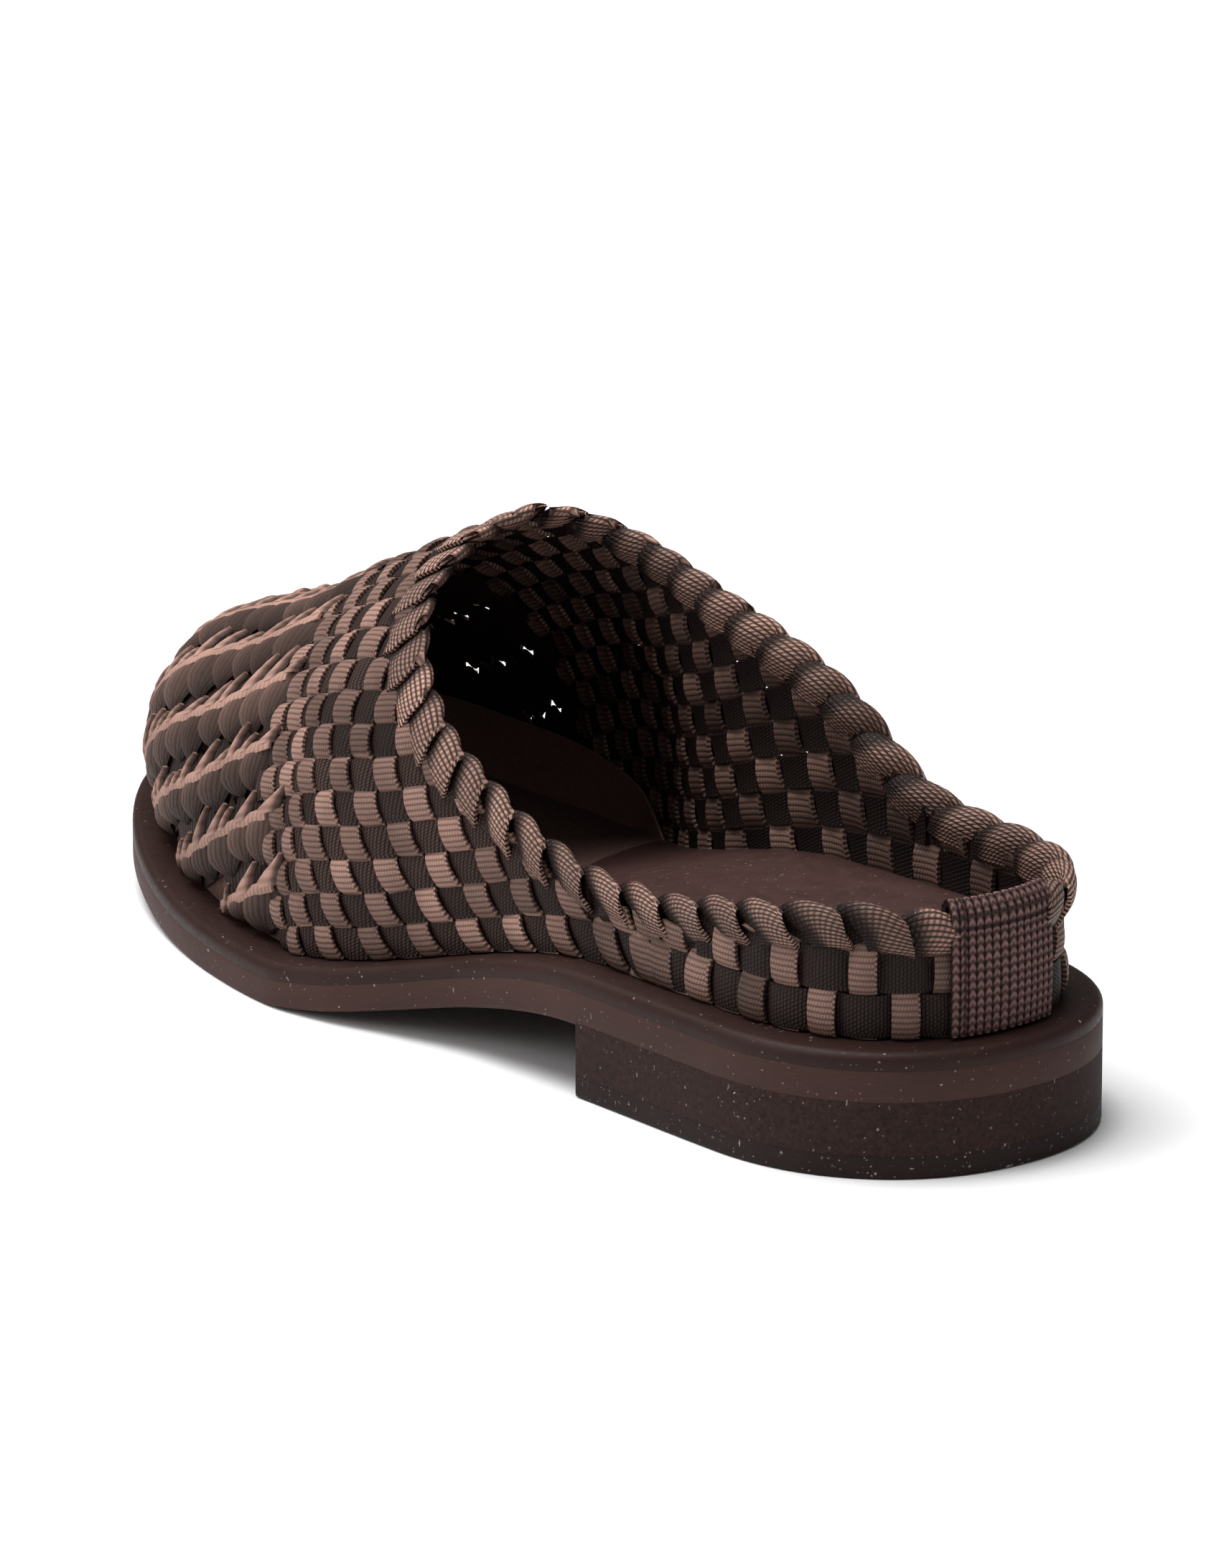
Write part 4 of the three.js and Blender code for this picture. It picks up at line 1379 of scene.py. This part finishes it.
def webbing_material():
    """Chain columns of coarse webbing, with two stitched lines under its top fold and one at a side."""
    material, n, shader = new_material("coarse_webbing")
    uv = n.add("ShaderNodeUVMap", uv_map="tape").outputs[0]
    split = n.add("ShaderNodeSeparateXYZ")
    n.link(uv, split.inputs[0])
    x, y = split.outputs[0], split.outputs[1]
    column = n.math("DIVIDE", x, CHAIN_WIDE)
    f = n.minus(n.math("FRACT", column), 0.5)
    bend = n.times(n.math("ABSOLUTE", f), CHAIN_SLANT)
    phase = n.plus(n.math("DIVIDE", y, CHAIN_LONG), bend)
    chain = n.math("COSINE", n.times(phase, math.tau))
    rim = n.math("POWER", n.times(n.math("ABSOLUTE", f), 2.0), 4.0)
    body = n.minus(n.times(chain, 0.7), n.times(rim, 2.2))

    def line(value, spot):
        return n.ramp(n.math("ABSOLUTE", n.minus(value, spot)), 0.2, 0.45, 1.0, 0.0)

    rows = n.most(line(y, STITCH_ROWS[1]), line(x, STITCH_COLUMN))
    stitch = n.most(line(y, STITCH_ROWS[0]), rows)
    where = coordinates(n)
    fuzz = n.noise(where, 900.0, 4.0)
    shade = n.times(n.ramp(body, -1.2, 0.7, 0.02, 1.0), n.ramp(fuzz, 0.25, 0.75, 0.6, 1.1))
    shade = n.times(shade, n.minus(1.0, n.times(stitch, 0.75)))
    n.link(n.mix(shade, (0.012, 0.0062, 0.0055, 1), (0.22, 0.12, 0.111, 1)), shader["Base Color"])
    shader["Roughness"].default_value = 0.7
    shader["Specular IOR Level"].default_value = 0.15
    pressed = n.minus(body, n.times(stitch, 1.5))
    height = n.plus(pressed, n.times(fuzz, 0.6))
    n.link(n.bump(height, 0.0002, 0.7), shader["Normal"])
    return material


DARK_TAPE = (0.008, 0.004, 0.003)
PALE_TAPE = (0.4, 0.236, 0.187)
CROSS_LOOK = tape_material(
    "cross_tape", DARK_TAPE, PALE_TAPE,
    rough=0.45, floor=0.4, rib=1.05, dash=0.6, both=0.0, depth=0.00018)
# Loop tape: a paler copy of the tape colour, for painted highlights on the loops' crests
LOOP_LOOK = tape_material(
    "loop_tape", DARK_TAPE, (0.55, 0.322, 0.253),
    rough=0.4, floor=0.08, rib=0.85, dash=0.7, both=1.0, depth=0.00028)
TOE_LOOK = tape_material(
    "gathered_tape", DARK_TAPE, PALE_TAPE,
    rough=0.7, floor=0.75, rib=1.35, dash=0.1, both=0.0, depth=0.00008)
# The length tapes are the same tape in a darker copy of its colour: painted shade, as they lie lower and
# show less sheen than the cross tapes
LENGTH_LOOK = tape_material(
    "length_tape", (0.006, 0.003, 0.0024), (0.2, 0.112, 0.09),
    rough=0.5, floor=0.08, rib=0.85, dash=0.75, both=0.0, depth=0.0002)
LINING_LOOK = rubber_material(
    "lining_cloth", (0.18, 0.1, 0.082), (0.285, 0.162, 0.135),
    grain=0.6, grain_size=900.0, depth=0.00008, rough=0.9, lint=0.1)
WELT_LOOK = rubber_material(
    "welt_rubber", (0.021, 0.0094, 0.0076), (0.032, 0.0152, 0.0126),
    grain=0.35, grain_size=700.0, depth=0.00004, rough=0.5, lint=0.14)
OUTSOLE_LOOK = rubber_material(
    "outsole_rubber", (0.038, 0.018, 0.015), (0.064, 0.032, 0.0272),
    grain=0.5, grain_size=500.0, depth=0.00008, rough=0.6, lint=0.24, streak=6.0)
BLOCK_LOOK = rubber_material(
    "heel_crepe", (0.0085, 0.0039, 0.0031), (0.048, 0.0248, 0.021),
    grain=0.85, grain_size=1100.0, depth=0.0002, rough=0.72, lint=0.28)
TOP_LOOK = rubber_material(
    "top_piece_rubber", (0.0125, 0.0068, 0.0062), (0.026, 0.0148, 0.0138),
    grain=0.5, grain_size=420.0, depth=0.0001, rough=0.6, lint=0.75, streak=8.0)
INSOLE_LOOK = insole_material()
WEBBING_LOOK = webbing_material()

# Sole, heel and insole: shares of their length, the hairline between layers, and the insole's outline
BREAST_SHARE = HEEL_SHARE + (BALL_SHARE - HEEL_SHARE) * (HEEL_BREAST - HEEL_ROUND) / (BALL - HEEL_ROUND)
FULL = np.linspace(0, 1, 241)
HEEL = np.linspace(0, BREAST_SHARE, 91)
SEAM = 0.02
SOFT = 0.05
EASE = 0.15
WELT_ROUND = 1.9
INSOLE_EDGE = -INSET - 2.0
SOLE_SHARP = 50
TAB_SHARP = 60
OUTSOLE_RINGS = [(-0.8, level(base)), (-0.25, level(base, 0.2)), (0, level(base, 0.8)),
                 (0, level(seam, -EASE)), (-SOFT, level(seam, -SEAM))]
WELT_RINGS = [(-SOFT, level(seam)), (0, level(seam, EASE))] + rounded(WELT_ROUND, welt)
BLOCK_RINGS = [(-SOFT, flat(TOP_PIECE + SEAM)), (0, flat(TOP_PIECE + EASE)),
               (0, flat(HEEL_RISE + 0.7)), (-0.7, flat(HEEL_RISE - SEAM))]
TOP_RINGS = [(-0.6, flat(0.0)), (-0.15, flat(0.25)), (0, flat(0.8)),
             (0, flat(TOP_PIECE - EASE)), (-SOFT, flat(TOP_PIECE))]
INSOLE_RINGS = [(INSOLE_EDGE, level(feather)), (INSOLE_EDGE, level(feather, INSOLE_THICK - 0.8)),
                (INSOLE_EDGE - 0.3, level(feather, INSOLE_THICK - 0.2)),
                (INSOLE_EDGE - 1.0, level(feather, INSOLE_THICK))]
for name, rings, shares, look, node in (
    ("outsole_layer", OUTSOLE_RINGS, FULL, OUTSOLE_LOOK, "outsole"),
    ("welt_layer", WELT_RINGS, FULL, WELT_LOOK, "midsole"),
    ("heel_stack", BLOCK_RINGS, HEEL, BLOCK_LOOK, "heel_block"),
    ("heel_lift", TOP_RINGS, HEEL, TOP_LOOK, "heel_top_piece"),
    ("insole_sock", INSOLE_RINGS, FULL, INSOLE_LOOK, "insole"),
):
    loaf(name, rings, shares).finish(look, node, SOLE_SHARP)

# Woven upper
for name, makers, look in (
    ("cross_tapes", (cross_tapes,), CROSS_LOOK),
    ("length_tapes", (length_tapes, collar_core), LENGTH_LOOK),
    ("gathered_toe", (gathered_toe,), TOE_LOOK),
    ("toe_lining", (toe_lining,), LINING_LOOK),
    ("collar_loops", (collar_loops,), LOOP_LOOK),
):
    soft_piece = Piece(name)
    for make in makers:
        make(soft_piece)
    soft_piece.finish(look, "upper")
tab = Piece("heel_webbing")
heel_tab(tab)
tab.finish(WEBBING_LOOK, "heel_tab", TAB_SHARP)

# Floor that glows white away from the shoe: from and to in metres, and the strength there
FLOOR_HALF = 6
GLOW_FROM = 0.4
GLOW_TO = 3.0
GLOW = 0.95

floor_bm = bmesh.new()
bmesh.ops.create_grid(floor_bm, x_segments=1, y_segments=1, size=FLOOR_HALF)
floor_mesh = bpy.data.meshes.new("floor")
floor_bm.to_mesh(floor_mesh)
floor_bm.free()
floor = bpy.data.objects.new("floor", floor_mesh)
bpy.context.scene.collection.objects.link(floor)
floor_look, floor_nodes, paint = new_material("floor_paint")
paint["Base Color"].default_value = (0.86, 0.86, 0.86, 1)
paint["Roughness"].default_value = 0.8
paint["Emission Color"].default_value = (1, 1, 1, 1)
from_shoe = floor_nodes.add("ShaderNodeVectorMath", operation="LENGTH")
floor_nodes.link(coordinates(floor_nodes), from_shoe.inputs[0])
glow = floor_nodes.ramp(from_shoe.outputs["Value"], GLOW_FROM, GLOW_TO, 0.0, GLOW)
floor_nodes.link(glow, paint["Emission Strength"])
floor_mesh.materials.append(floor_look)

# Light and camera, in metres and watts
WORLD_STRENGTH = 0.16
SHOE = (0, 0, 0.04)
CAMERA_SPOT = Vector((-0.9867, -1.2346, 0.4844))
CAMERA_AIM = Vector((0.004, -0.006, 0.0405))
LENS = 205
SENSOR = 36

world = bpy.data.worlds.new("studio")
world.use_nodes = True
world.node_tree.nodes["Background"].inputs["Color"].default_value = (1, 1, 1, 1)
world.node_tree.nodes["Background"].inputs["Strength"].default_value = WORLD_STRENGTH
bpy.context.scene.world = world
bpy.context.scene.view_settings.view_transform = "Standard"


def softbox(name, spot, aim, size, power):
    """Area light at a spot, turned to its aim."""
    light = bpy.data.lights.new(name, "AREA")
    light.shape = "RECTANGLE"
    light.size, light.size_y = size
    light.energy = power
    lamp = bpy.data.objects.new(name, light)
    lamp.location = spot
    lamp.rotation_mode = "QUATERNION"
    lamp.rotation_quaternion = (Vector(aim) - Vector(spot)).to_track_quat("-Z", "Y")
    bpy.context.scene.collection.objects.link(lamp)


softbox("overhead", (-0.25, 0.25, 1.5), (0, 0, 0.03), (1.2, 1.2), 38)
softbox("toe_side", (-1.3, 0.5, 0.8), SHOE, (0.8, 0.8), 6)
softbox("heel_side", (-0.3, -1.5, 0.7), SHOE, (0.8, 0.8), 1.5)

camera_data = bpy.data.cameras.new("camera")
camera = bpy.data.objects.new("camera", camera_data)
camera.location = CAMERA_SPOT
camera.rotation_mode = "QUATERNION"
camera.rotation_quaternion = (CAMERA_AIM - CAMERA_SPOT).to_track_quat("-Z", "Y")
camera_data.lens = LENS
camera_data.sensor_width = SENSOR
camera_data.clip_start, camera_data.clip_end = 0.05, 50
bpy.context.scene.collection.objects.link(camera)
bpy.context.scene.camera = camera
